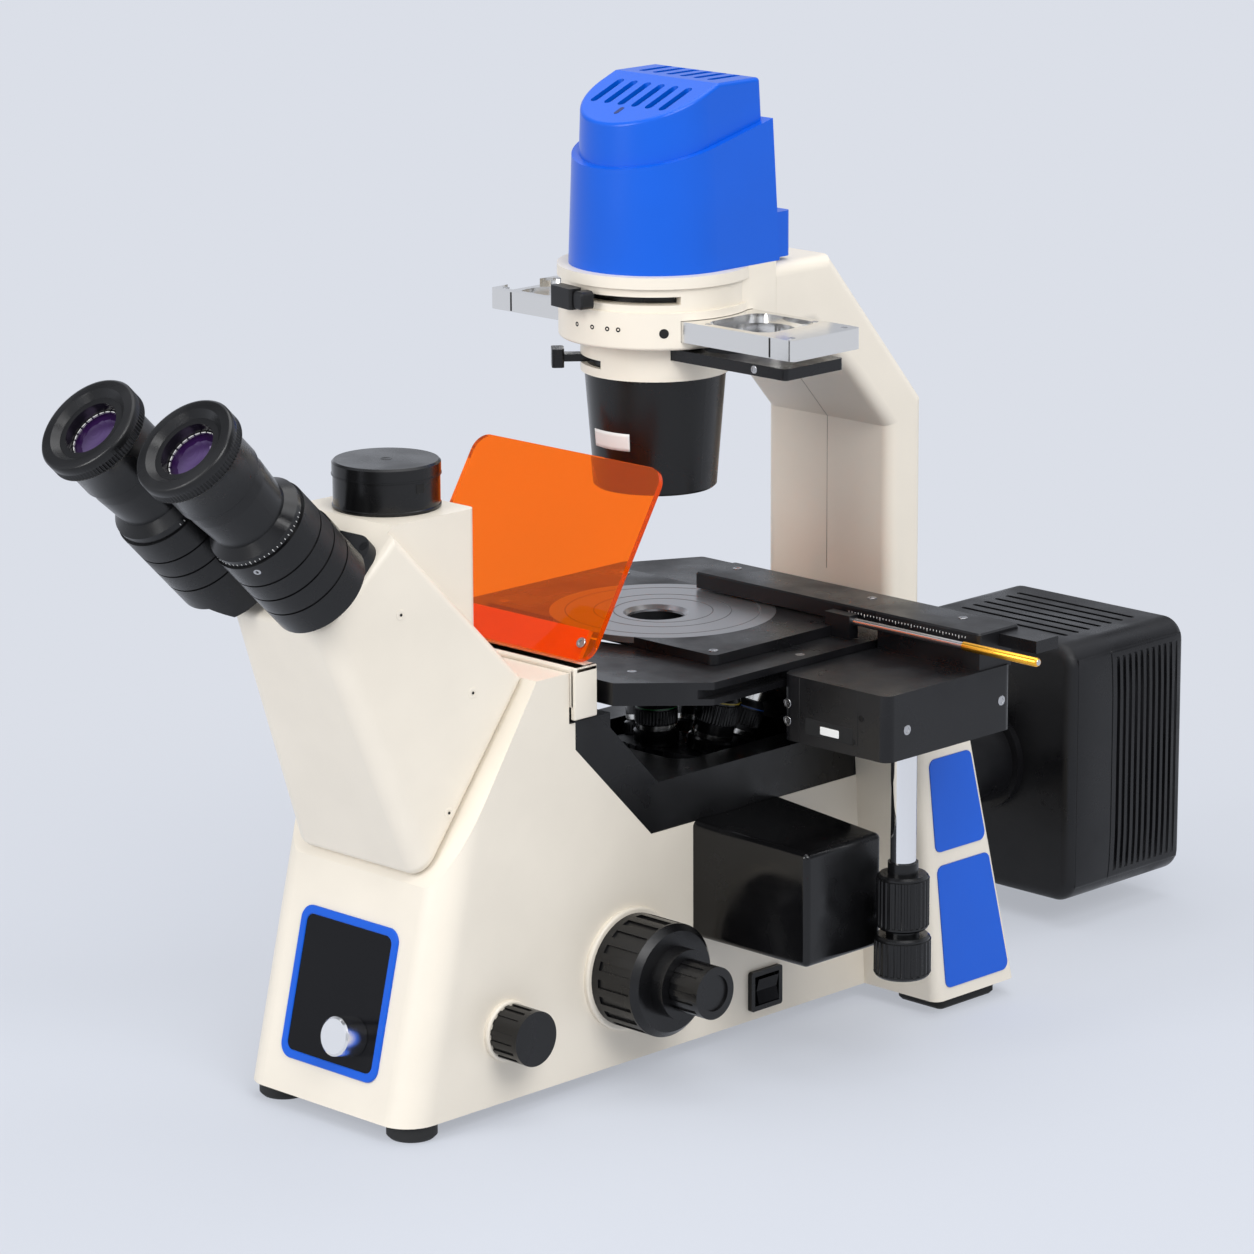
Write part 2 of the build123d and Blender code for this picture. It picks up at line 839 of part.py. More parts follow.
# Fine knobs: one pair on the shaft inside the coarse one
fine_foot = coarse_outer + slide_gap
with BuildPart() as fine:
    with BuildSketch(side_at(-base_half_width - fine_foot - fine_length + 1)):
        with Locations((focus_y, focus_z)):
            Circle(fine_shaft_radius)
    extrude(amount=2 * (base_half_width + fine_foot + fine_length - 1))
    for sign in (1, -1):
        with BuildSketch(knob_side(sign).offset(fine_foot)):
            with Locations((sign * focus_y, focus_z)):
                Circle(fine_radius)
        extrude(amount=fine_length)
        grip = Plane(origin=(axis_x + sign * (base_half_width + fine_foot), axis_y + focus_y, focus_z),
                     z_dir=(sign, 0, 0))
        add(knurl(fine_radius, 14, 0.8, fine_length - 3, grip), mode=Mode.SUBTRACT)
        with BuildSketch(knob_side(sign).offset(fine_foot + fine_length)):
            with Locations((sign * focus_y, focus_z)):
                Circle(fine_radius - 4)
        extrude(amount=-1.2, mode=Mode.SUBTRACT)
fine.part.label = "fine_knobs"
export_step(fine.part, "parts/fine_knobs.step")

# Light-path knob on its shaft
with BuildPart() as path_knob:
    with BuildSketch(knob_side(1).offset(coarse_foot)):
        with Locations((path_y, path_z)):
            Circle(path_knob_radius)
    extrude(amount=path_knob_length)
    grip = Plane(origin=(axis_x + base_half_width + coarse_foot, axis_y + path_y, path_z), z_dir=(1, 0, 0))
    add(knurl(path_knob_radius, 16, 0.8, path_knob_length - 3, grip), mode=Mode.SUBTRACT)
    with BuildSketch(knob_side(1).offset(coarse_foot)):
        with Locations((path_y, path_z)):
            Circle(path_shaft_radius)
    extrude(amount=-coarse_foot - base_wall - 8)
path_knob.part.label = "light_path_knob"
export_step(path_knob.part, "parts/light_path_knob.step")

# Pillar and arm: two half shells that meet in the middle plane
arm_outline = (
    (ring_joint_y + seat_gap, arm_underside),
    (arm_bend_high_y, arm_underside),
    (arm_bend_mid_y, arm_bend_mid_z),
    (column_front, arm_bend_low),
    (column_front, column_foot),
    (column_rear, column_foot),
    (column_rear, arm_slope_low_z),
    (arm_slope_top_y, arm_top),
    (ring_joint_y + seat_gap, arm_top),
)


def pillar_form():
    """The whole pillar and arm as one hollow body, open below where it stands on the base."""
    with BuildPart() as form:
        with BuildSketch(side_at(-arm_half_width)):
            with BuildLine():
                Polyline(*arm_outline, close=True)
            make_face()
        extrude(amount=2 * arm_half_width)
        long_edges = [e for e in form.edges() if abs(abs(e.center().X - axis_x) - arm_half_width) < 0.1
                      and e.center().Z > column_foot + 1 and e.center().Y - axis_y > ring_joint_y + 1]
        fillet(long_edges, arm_corner_radius)
        with BuildSketch(side_at(arm_wall - arm_half_width)):
            with BuildLine():
                Polyline(*arm_outline, close=True)
            make_face()
            offset(amount=-arm_wall, kind=Kind.INTERSECTION)
            with Locations(((column_front + column_rear) / 2, column_foot + arm_wall / 2)):
                Rectangle(column_rear - column_front - 2 * arm_wall, arm_wall + 2)
        extrude(amount=2 * (arm_half_width - arm_wall), mode=Mode.SUBTRACT)
    return form.part


pillar = pillar_form()
middle = side_at(0)
with BuildPart() as pillar_right:
    add(pillar)
    split(bisect_by=middle, keep=Keep.TOP)
pillar_right.part.label = "pillar_right_shell"
export_step(pillar_right.part, "parts/pillar_right_shell.step")

with BuildPart() as pillar_left:
    add(pillar)
    split(bisect_by=middle, keep=Keep.BOTTOM)
pillar_left.part.label = "pillar_left_shell"
export_step(pillar_left.part, "parts/pillar_left_shell.step")

# Lamp ring housing: neck, band, recessed band and flange, with the guides of both sliders and the slots of
# both iris levers
field_ring_outer = 37
field_ring_inner = 31
aperture_ring_outer = 33
ring_play = 0.3
slider_guide = filter_slider_bottom - slide_gap


def lever_slot(radius, angle_from, angle_to, z, height):
    """A slot through the ring's wall for a lever that swings about the optical axis."""
    start = (radius * cos(radians(angle_from)), radius * sin(radians(angle_from)))
    with BuildPart() as slot:
        with BuildSketch(ground.offset(z - height / 2)):
            with BuildLine():
                Line((0, 0), start)
                CenterArc((0, 0), radius, angle_from, angle_to - angle_from)
                Line((0, 0), (radius * cos(radians(angle_to)), radius * sin(radians(angle_to))))
            make_face()
        extrude(amount=height)
    return slot.part


with BuildPart() as ring_housing:
    with BuildSketch(ground.offset(neck_bottom)):
        Circle(neck_radius)
    extrude(amount=band_bottom - neck_bottom)
    for low, high, radius in ((band_bottom, recess_bottom, band_radius),
                              (recess_bottom, flange_bottom, recess_radius),
                              (flange_bottom, flange_top, flange_radius)):
        with BuildSketch(ground.offset(low)):
            Circle(radius)
            with Locations((0, ring_joint_y / 2)):
                Rectangle(2 * arm_half_width, ring_joint_y)
            with Locations((0, ring_joint_y + radius)):
                Rectangle(4 * radius, 2 * radius, mode=Mode.SUBTRACT)
        extrude(amount=high - low)
    band_rims = [e for e in ring_housing.edges().filter_by(GeomType.CIRCLE)
                 if e.radius > recess_radius + 1 and e.center().Z < band_bottom + 1]
    fillet(band_rims, 1.5)
    with BuildSketch(ground.offset(neck_bottom - 1)):
        Circle(ring_bore_radius)
    extrude(amount=flange_top - neck_bottom + 2, mode=Mode.SUBTRACT)
    # Grooves that carry the two iris rings
    with BuildSketch(ground.offset(lever_slot_z - 4)):
        Circle(field_ring_outer + ring_play)
    extrude(amount=8, mode=Mode.SUBTRACT)
    with BuildSketch(ground.offset(aperture_slot_z - 3)):
        Circle(aperture_ring_outer + ring_play)
    extrude(amount=6, mode=Mode.SUBTRACT)
    add(lever_slot(band_radius + 6, field_slot_from, field_slot_to, lever_slot_z, lever_slot_height),
        mode=Mode.SUBTRACT)
    add(lever_slot(band_radius, aperture_slot_from, aperture_slot_to, aperture_slot_z, lever_slot_height),
        mode=Mode.SUBTRACT)
    # Guides of the two sliders
    with BuildSketch(side_at(-band_radius - 1)):
        with Locations((0, filter_slider_bottom + filter_slider_height / 2)):
            Rectangle(filter_slider_width + 2 * slide_gap, filter_slider_height + 2 * slide_gap)
    extrude(amount=2 * band_radius + 2, mode=Mode.SUBTRACT)
    with BuildSketch(side_at(phase_slider_left - 1)):
        with Locations((0, phase_slider_bottom + phase_slider_height / 2)):
            Rectangle(phase_slider_width + 2 * slide_gap, phase_slider_height + 2 * slide_gap)
    extrude(amount=band_radius - phase_slider_left + 2, mode=Mode.SUBTRACT)
ring_housing.part.label = "lamp_ring_housing"
export_step(ring_housing.part, "parts/lamp_ring_housing.step")


def cover_plan(inset):
    """Plan of the lamp cover: round in front, straight sides, square behind."""
    radius = cover_radius - inset
    Circle(radius)
    with Locations((0, (cover_rear - inset) / 2)):
        Rectangle(2 * radius, cover_rear - inset)
    with Locations((0, cover_rear - inset + radius)):
        Rectangle(4 * radius, 2 * radius, mode=Mode.SUBTRACT)


def cover_form(inset):
    """The lamp cover's solid form: a tapering lower part, a slanting step and a sloping roof."""
    with BuildPart() as lower:
        with BuildSketch(ground.offset(flange_top - (1 if inset else 0))):
            cover_plan(inset)
        extrude(amount=cover_step_rear + 5 - flange_top, taper=cover_draft)
        with BuildSketch(side_at(-2 * cover_radius)):
            with BuildLine():
                Polyline((-2 * cover_radius, cover_step_front - inset), (-cover_radius, cover_step_front - inset),
                         (cover_rear, cover_step_rear - inset), (2 * cover_radius, cover_step_rear - inset),
                         (2 * cover_radius, cover_top), (-2 * cover_radius, cover_top), close=True)
            make_face()
        extrude(amount=4 * cover_radius, mode=Mode.SUBTRACT)
    with BuildPart() as upper:
        with BuildSketch(ground.offset(flange_top)):
            cover_plan(inset + cover_step)
        extrude(amount=cover_top + 5 - flange_top, taper=cover_draft)
        with BuildSketch(side_at(-2 * cover_radius)):
            with BuildLine():
                Polyline((-2 * cover_radius, cover_roof_front - inset), (-cover_radius, cover_roof_front - inset),
                         (cover_roof_ridge_y, cover_top - inset), (2 * cover_radius, cover_top - inset),
                         (2 * cover_radius, cover_top + 10), (-2 * cover_radius, cover_top + 10), close=True)
            make_face()
        extrude(amount=4 * cover_radius, mode=Mode.SUBTRACT)
    with BuildPart() as both:
        add(lower.part)
        add(upper.part)
    return both.part


# Lamp cover: a thin moulded shell with two rows of vents and a cable box behind
with BuildPart() as cover:
    add(cover_form(0))
    roof_edges = [e for e in cover.edges() if e.center().Z > cover_step_rear + 1]
    fillet(roof_edges, 2)
    with BuildSketch(ground.offset(flange_top)):
        with Locations((0, (cover_rear - 3 + back_box_rear) / 2)):
            RectangleRounded(2 * back_box_half_width, back_box_rear - cover_rear + 3, 3)
    extrude(amount=back_box_height)
    add(cover_form(cover_wall), mode=Mode.SUBTRACT)
    with BuildSketch(ground.offset(cover_roof_front)):
        with Locations((0, vent_front_y)):
            with GridLocations(vent_pitch, 1, vent_count, 1):
                SlotOverall(vent_length, vent_width, rotation=90)
        with Locations((0, vent_rear_y)):
            with GridLocations(vent_pitch, 1, vent_count, 1):
                SlotOverall(vent_length, vent_width, rotation=90)
    extrude(amount=cover_top - cover_roof_front + 1, mode=Mode.SUBTRACT)
cover.part.label = "lamp_cover"
export_step(cover.part, "parts/lamp_cover.step")

# Heat sink under the cover, with the lamp that looks down the bore
with BuildPart(ground) as heat_sink:
    with Locations((0, 0, flange_top)):
        Cylinder(ring_bore_radius + sink_rim, sink_plate, align=(Align.CENTER, Align.CENTER, Align.MIN))
    with Locations((0, 0, flange_top + sink_plate)):
        with GridLocations(fin_pitch, 1, fin_count, 1):
            Box(fin_thickness, fin_length, fin_height, align=(Align.CENTER, Align.CENTER, Align.MIN))
    with Locations((0, 0, flange_top)):
        Cylinder(sink_lamp_radius, sink_lamp_height, align=(Align.CENTER, Align.CENTER, Align.MAX))
heat_sink.part.label = "lamp_heat_sink"
export_step(heat_sink.part, "parts/lamp_heat_sink.step")

# Condenser cone, screwed into the neck by its spigot
cone_seat_z = cone_bottom + cone_seat_height
with BuildPart() as cone:
    with BuildSketch(front_at(0)):
        with BuildLine():
            Polyline(
                (ring_bore_radius - 7, cone_bottom), (cone_bottom_radius - 1, cone_bottom),
                (cone_bottom_radius, cone_bottom + 1), (cone_top_radius, neck_bottom),
                (ring_bore_radius - running, neck_bottom), (ring_bore_radius - running, neck_bottom + 3),
                (condenser_lens_radius + seat_gap, neck_bottom + 3), (condenser_lens_radius + seat_gap, cone_seat_z),
                (condenser_lens_radius - 2, cone_seat_z), (condenser_lens_radius - 2, cone_bottom + 3),
                (ring_bore_radius - 7, cone_bottom + 3), close=True)
        make_face()
    revolve(axis=optical_axis)
cone.part.label = "condenser_cone"
export_step(cone.part, "parts/condenser_cone.step")

with BuildPart() as condenser_lenses:
    for seat, radius in ((cone_bottom + 3, condenser_lens_radius - 2 - seat_gap), (cone_seat_z, condenser_lens_radius)):
        with BuildSketch(front_at(0)):
            with BuildLine():
                Polyline(*lens_profile(radius, seat, 3, 4.4), close=True)
            make_face()
        revolve(axis=optical_axis)
condenser_lenses.part.label = "condenser_lenses"
export_step(condenser_lenses.part, "parts/condenser_lenses.step")

# Filter slider: a thick bar with three stepped pockets
with BuildPart() as filter_slider:
    with BuildSketch(ground.offset(filter_slider_bottom)):
        with Locations(((filter_slider_left + filter_slider_right) / 2, 0)):
            RectangleRounded(filter_slider_right - filter_slider_left, filter_slider_width, 3)
        with GridLocations(filter_pitch, 1, 3, 1):
            Circle(filter_hole_radius, mode=Mode.SUBTRACT)
    extrude(amount=filter_slider_height)
    with BuildSketch(ground.offset(filter_slider_bottom + filter_slider_height)):
        with GridLocations(filter_pitch, 1, 3, 1):
            RectangleRounded(2 * filter_hole_radius + 8, 2 * filter_hole_radius + 6, 8)
    extrude(amount=-filter_pocket_depth, mode=Mode.SUBTRACT)
filter_slider.part.label = "filter_slider"
export_step(filter_slider.part, "parts/filter_slider.step")

# Phase slider: a thin bar with two round openings
with BuildPart() as phase_slider:
    with BuildSketch(ground.offset(phase_slider_bottom)):
        with Locations(((phase_slider_left + phase_slider_right) / 2, 0)):
            RectangleRounded(phase_slider_right - phase_slider_left, phase_slider_width, 2)
        with Locations((0, 0), (phase_pitch, 0)):
            Circle(phase_hole_radius, mode=Mode.SUBTRACT)
    extrude(amount=phase_slider_height)
phase_slider.part.label = "phase_slider"
export_step(phase_slider.part, "parts/phase_slider.step")


def lever(inner, outer, z, height, angle, reach, grip_width, grip_height, grip_depth):
    """An iris ring in its groove with a lever that ends in a finger grip."""
    with BuildPart() as arm:
        with BuildSketch(ground.offset(z - height / 2)):
            Circle(outer)
            Circle(inner, mode=Mode.SUBTRACT)
        extrude(amount=height)
        with BuildSketch(ground.offset(z - lever_slot_height / 2 + slide_gap)):
            with Locations(Location((0, 0, 0), (0, 0, angle))):
                with Locations(((outer - 1 + reach) / 2, 0)):
                    Rectangle(reach - outer + 1, 7)
        extrude(amount=lever_slot_height - 2 * slide_gap)
        with BuildSketch(ground.offset(z - grip_height / 2)):
            with Locations(Location((0, 0, 0), (0, 0, angle))):
                with Locations((reach + grip_depth / 2 - 1, 0)):
                    RectangleRounded(grip_depth, grip_width, 1.5)
        extrude(amount=grip_height)
    return arm.part


with BuildPart() as field_lever:
    add(lever(field_ring_inner, field_ring_outer, lever_slot_z, 7.4, field_lever_angle, band_radius + 3, 17, 10, 7))
field_lever.part.label = "field_iris_lever"
export_step(field_lever.part, "parts/field_iris_lever.step")

with BuildPart() as aperture_lever:
    add(lever(ring_bore_radius + 0.4, aperture_ring_outer, aperture_slot_z, 5.4, aperture_lever_angle,
              neck_radius + 9, 11, 9, 6))
aperture_lever.part.label = "aperture_iris_lever"
export_step(aperture_lever.part, "parts/aperture_iris_lever.step")

# Observation head: two half shells with flared, slightly leaning sides and a narrower block on top
head_outline = (
    (front_face_y(rest_bottom), rest_bottom + head_gap),
    (head_face_y - (head_face_z - head_face_low), head_face_low),
    (head_face_y + (head_face_high - 3 - head_face_z), head_face_high - 3),
    (shoulder_front, shoulder_top + head_gap),
)
head_block_outline = (
    (head_face_y + (head_face_high - head_face_z) - 20, head_face_high - 20),
    (head_face_y + (head_face_high - head_face_z), head_face_high),
    (head_block_rear, head_face_high),
    (head_block_rear, head_block_foot - 10),
)


def head_form(inset):
    """The head's outer form, or its hollow when inset by the wall."""
    with BuildPart() as form:
        with BuildSketch(side_at(-2 * head_half_width)):
            with BuildLine():
                Polyline(*head_outline, close=True)
            make_face()
            if inset:
                offset(amount=-inset, kind=Kind.INTERSECTION)
        extrude(amount=4 * head_half_width)
        for sign in (1, -1):
            cheek = Plane((axis_x + sign * (head_half_width - inset), axis_y + head_cheek_y, head_cheek_z),
                          z_dir=(sign * cos(radians(head_flare)), -sin(radians(head_flare)),
                                 sin(radians(head_lean_in))))
            split(bisect_by=cheek, keep=Keep.BOTTOM)
        front_edges = [e for e in form.edges() if near_front_edge(e, inset)]
        fillet(front_edges, head_corner_radius - inset)
        if not inset:
            rims = [e for e in form.edges() if e.center().X - axis_x > head_half_width / 2
                    and e.center().Y - axis_y > head_face_y + 12]
            rims += [e for e in form.edges() if e.center().X - axis_x < -head_half_width / 2
                     and e.center().Y - axis_y > head_face_y + 12]
            fillet(rims, head_rim_radius)
    with BuildPart() as block:
        with BuildSketch(side_at(inset - head_block_half_width)):
            with BuildLine():
                Polyline(*head_block_outline, close=True)
            make_face()
            if inset:
                offset(amount=-inset, kind=Kind.INTERSECTION)
        extrude(amount=2 * (head_block_half_width - inset))
        if not inset:
            fillet([e for e in block.edges() if e.center().Y - axis_y > head_block_rear - 1
                    and abs(e.center().X - axis_x) > 1], head_rim_radius)
    with BuildPart() as both:
        add(form.part)
        add(block.part)
    return both.part


def near_front_edge(edge, inset):
    """Whether an edge is one of the two between the head's front face and its cheeks."""
    middle_y = (head_outline[0][0] + head_outline[1][0]) / 2
    middle_z = (head_outline[0][1] + head_outline[1][1]) / 2
    away = hypot(edge.center().Y - axis_y - middle_y, edge.center().Z - middle_z)
    return away < 6 + inset and abs(edge.center().X - axis_x) > 10


def head_half(sign, inset):
    """The right or left half of the head's form."""
    with BuildPart() as half:
        add(head_form(inset))
        with BuildSketch(middle):
            Rectangle(2 * head_reach, 2 * head_reach)
        extrude(amount=sign * head_reach, mode=Mode.INTERSECT)
    return half.part


def head_shell(sign):
    """One half shell of the head, with the light passages cut."""
    with BuildPart() as shell:
        add(head_half(sign, 0))
        add(head_half(sign, head_wall), mode=Mode.SUBTRACT)
        with BuildSketch(ground.offset(head_face_high - head_wall - 1)):
            with Locations((0, port_y)):
                Circle(port_bore_radius)
        extrude(amount=head_wall + 2, mode=Mode.SUBTRACT)
        with BuildSketch(eye_face.offset(1)):
            with Locations((0, eye_hinge_up)):
                Circle(eye_window_radius)
        extrude(amount=-head_wall - 3, mode=Mode.SUBTRACT)
        with BuildSketch(ground.offset(rest_bottom + light_hole_low)):
            with Locations((0, port_y)):
                Circle(slope_hole_radius)
        extrude(amount=light_hole_reach, mode=Mode.SUBTRACT)
    return shell.part


with BuildPart() as head_right:
    add(head_shell(1))
head_right.part.label = "head_right_shell"
export_step(head_right.part, "parts/head_right_shell.step")

with BuildPart() as head_left:
    add(head_shell(-1))
head_left.part.label = "head_left_shell"
export_step(head_left.part, "parts/head_left_shell.step")

# Camera port: a short tube on the head's top and the cap that closes it
with BuildPart(ground) as port_tube:
    with Locations((0, port_y, head_face_high)):
        Cylinder(port_radius, port_height, align=(Align.CENTER, Align.CENTER, Align.MIN))
        Cylinder(port_bore_radius, 3 * port_height, mode=Mode.SUBTRACT)
port_tube.part.label = "camera_port_tube"
export_step(port_tube.part, "parts/camera_port_tube.step")

with BuildPart(ground) as port_cap:
    with Locations((0, port_y, head_face_high + port_height + seat_gap)):
        Cylinder(cap_radius, cap_height, align=(Align.CENTER, Align.CENTER, Align.MIN))
        Cylinder(port_bore_radius - running, cap_spigot, align=(Align.CENTER, Align.CENTER, Align.MAX))
        Cylinder(port_bore_radius - 2, cap_spigot + 2, align=(Align.CENTER, Align.CENTER, Align.MAX),
                 mode=Mode.SUBTRACT)
    chamfer(port_cap.edges().sort_by(Axis.Z)[-1], 1)
port_cap.part.label = "port_cap"
export_step(port_cap.part, "parts/port_cap.step")

# Relay optics: the prism hung under the camera port, the mirror under the turret and the tube lens before it
plate_level = foot_height + bottom_plate_thickness
with BuildPart() as relay:
    with BuildSketch(side_at(-prism_half)):
        with BuildLine():
            Polyline((port_y - prism_half - 2, prism_z - prism_half), (port_y + prism_half, prism_z - prism_half),
                     (port_y + prism_half, prism_z + prism_half), (port_y - prism_half / 2, prism_z + prism_half),
                     close=True)
        make_face()
    extrude(amount=2 * prism_half)
    with BuildSketch(ground.offset(prism_z + prism_half)):
        with Locations((0, port_y)):
            Circle(prism_ring_radius)
            Circle(prism_ring_bore, mode=Mode.SUBTRACT)
    extrude(amount=head_face_high - head_wall - prism_z - prism_half)
    with BuildSketch(side_at(-mirror_half)):
        with BuildLine():
            Polyline((-mirror_half, plate_level), (mirror_half, plate_level),
                     (mirror_half, plate_level + 2 * mirror_half), close=True)
        make_face()
    extrude(amount=2 * mirror_half)
    with BuildSketch(front_at(path_y + 26)):
        with Locations((0, plate_level + tube_lens_radius + 5)):
            Circle(tube_lens_radius)
        with Locations((0, plate_level + 5)):
            Rectangle(tube_lens_radius, 10)
    extrude(amount=8)
relay.part.label = "relay_optics"
export_step(relay.part, "parts/relay_optics.step")

# Binocular mount: the plate on the head's slanting face, with the pin that both arms turn on
with BuildPart() as eye_mount:
    with BuildSketch(eye_face):
        with Locations((0, eye_hinge_up)):
            RectangleRounded(2 * eye_half_distance + 6, 38, 10)
    extrude(amount=binocular_plate)
    with BuildSketch(eye_face):
        with Locations((0, eye_hinge_up)):
            Circle(hinge_pin_radius)
    extrude(amount=binocular_plate + 2 * arm_disc + 2)
    chamfer(eye_mount.faces().sort_by(eye_axis)[-1].edges(), 0.8)
eye_mount.part.label = "binocular_mount"
export_step(eye_mount.part, "parts/binocular_mount.step")


def eye_arm(sign, foot):
    """An arm that turns on the mount's pin: its disc, the housing round the tube and the fairing between."""
    tube = Vector(sign * eye_half_distance, 0)
    hinge = Vector(0, eye_hinge_up)
    toward = (hinge - tube).normalized()
    across = Vector(-toward.Y, toward.X)
    reach = arm_body_radius ** 2 / (hinge - tube).length
    spread = arm_body_radius * sqrt(1 - (reach / arm_body_radius) ** 2)
    touch = [tube + toward * reach + across * spread * side for side in (1, -1)]
    shelf = binocular_plate + 2 * (arm_disc + slide_gap)
    other_disc = binocular_plate + slide_gap + (arm_disc + slide_gap if foot < shelf - 2 * arm_disc else 0)
    with BuildPart() as arm:
        with BuildSketch(eye_face.offset(foot)):
            with Locations(hinge):
                Circle(arm_disc_radius)
        extrude(amount=arm_disc)
        side_step = eye_face.from_local_coords(across) - eye_face.origin
        # The housing tapers on its outer side, down to the disc
        with BuildSketch(eye_face.offset(foot)):
            with Locations(tube):
                Circle(arm_body_radius)
        housing = extrude(amount=arm_body_top - foot, mode=Mode.PRIVATE)
        cut_top = eye_face.from_local_coords(tube - toward * arm_body_radius + Vector(0, 0, arm_cut_high))
        cut_foot = eye_face.from_local_coords(tube + toward * arm_cut_low + Vector(0, 0, foot))
        taper = Plane(cut_top, x_dir=side_step, z_dir=side_step.cross(cut_foot - cut_top))
        add(split(housing, bisect_by=taper, keep=Keep.BOTTOM, mode=Mode.PRIVATE))
        # The fairing slopes from the housing down to the hinge
        with BuildSketch(eye_face.offset(shelf)):
            with BuildLine():
                Line(hinge, touch[0])
                ThreePointArc(touch[0], tube - toward * arm_body_radius, touch[1])
                Line(touch[1], hinge)
            make_face()
        fairing = extrude(amount=fairing_height, mode=Mode.PRIVATE)
        slope_top = eye_face.from_local_coords(tube + toward * arm_body_radius * 0.6
                                               + Vector(0, 0, shelf + fairing_height))
        slope_foot = eye_face.from_local_coords(hinge + Vector(0, 0, shelf + fairing_foot))
        slope = Plane(slope_top, x_dir=side_step, z_dir=side_step.cross(slope_foot - slope_top))
        add(split(fairing, bisect_by=slope, keep=Keep.TOP, mode=Mode.PRIVATE))
        # Room for the pin and for the other arm's disc
        with BuildSketch(eye_face.offset(binocular_plate)):
            with Locations(hinge):
                Circle(hinge_pin_radius + running)
        extrude(amount=arm_body_top, mode=Mode.SUBTRACT)
        if other_disc > foot:
            with BuildSketch(eye_face.offset(other_disc - slide_gap)):
                with Locations(hinge):
                    Circle(arm_disc_radius + 2 * slide_gap)
            extrude(amount=arm_disc + 2 * slide_gap, mode=Mode.SUBTRACT)
        # Bore for the eyepiece, and the slanting passage of the light up to it
        with BuildSketch(eye_face.offset(bore_foot)):
            with Locations(tube):
                Circle(barrel_radius + running)
        extrude(amount=arm_body_top, mode=Mode.SUBTRACT)
        passage_foot = eye_face.from_local_coords(tube + toward * barrel_radius)
        passage_top = eye_face.from_local_coords(tube + Vector(0, 0, bore_foot + 1))
        with BuildSketch(Plane(passage_foot, z_dir=passage_top - passage_foot)):
            Circle(light_passage_radius)
        extrude(amount=(passage_top - passage_foot).length, mode=Mode.SUBTRACT)
        # Grooves round the housing
        for height in arm_grooves:
            with BuildSketch(eye_face.offset(height)):
                with Locations(tube):
                    Circle(arm_body_radius + 1)
                    Circle(arm_body_radius - groove_depth, mode=Mode.SUBTRACT)
            extrude(amount=groove_width, mode=Mode.SUBTRACT)
    return arm.part


with BuildPart() as left_arm:
    add(eye_arm(-1, binocular_plate + slide_gap))
left_arm.part.label = "left_eye_arm"
export_step(left_arm.part, "parts/left_eye_arm.step")

with BuildPart() as right_arm:
    add(eye_arm(1, binocular_plate + 2 * slide_gap + arm_disc))
right_arm.part.label = "right_eye_arm"
export_step(right_arm.part, "parts/right_eye_arm.step")


def turned(profile, plane_origin):
    """A revolved piece about an eyepiece's axis, from radius and height pairs."""
    with BuildPart() as piece:
        with BuildSketch(Plane(plane_origin, x_dir=(1, 0, 0), z_dir=-eye_face.y_dir)):
            with BuildLine():
                Polyline(*profile, close=True)
            make_face()
        revolve(axis=Axis(plane_origin, eye_face.z_dir))
    return piece.part


eyepiece_profile = (
    (barrel_bore, arm_body_top - 18), (barrel_radius, arm_body_top - 18), (barrel_radius, arm_body_top),
    (arm_body_radius - 1, arm_body_top), (arm_body_radius - 1, arm_body_top + neck_length / 8),
    (neck_tube_radius, arm_body_top + neck_length / 4), (neck_tube_radius + 1.5, dioptre_low - 3 * neck_length / 16),
    (neck_tube_radius + 1.5, dioptre_low - slide_gap), (barrel_radius + 1.5, dioptre_low - slide_gap),
    (barrel_radius + 1.5, eye_length - 3), (barrel_bore + 1, eye_length - 3),
    (barrel_bore + 1, eye_length - 11), (barrel_bore, eye_length - 11),
)
ring_profile = (
    (barrel_radius + 1.5 + running, dioptre_low), (dioptre_radius, dioptre_low),
    (dioptre_radius, eye_length - eyecup_length), (eyecup_radius, eye_length - eyecup_length + 1),
    (eyecup_radius, eye_length - 1), (eyecup_radius - 1, eye_length), (eyecup_radius - 5, eye_length),
    (barrel_radius + 1.5 + running, eye_length - 3),
)

for sign, word in ((-1, "left"), (1, "right")):
    foot_point = eye_face.from_local_coords((sign * eye_half_distance, 0, 0))
    with BuildPart() as eyepiece:
        add(turned(eyepiece_profile, foot_point))
    eyepiece.part.label = f"{word}_eyepiece"
    export_step(eyepiece.part, f"parts/{word}_eyepiece.step")

    with BuildPart() as dioptre:
        add(turned(ring_profile, foot_point))
        grip = Plane(eye_face.from_local_coords((sign * eye_half_distance, 0, eye_length - eyecup_length + 1.5)),
                     x_dir=(1, 0, 0), z_dir=eye_face.z_dir)
        add(knurl(eyecup_radius, 30, 0.7, eyecup_length - 4, grip), mode=Mode.SUBTRACT)
    dioptre.part.label = f"{word}_dioptre_ring"
    export_step(dioptre.part, f"parts/{word}_dioptre_ring.step")

    with BuildPart() as eye_lens:
        add(turned(lens_profile(barrel_bore + 1 - seat_gap, eye_length - 11, 2, 3), foot_point))
    eye_lens.part.label = f"{word}_eye_lens"
    export_step(eye_lens.part, f"parts/{word}_eye_lens.step")

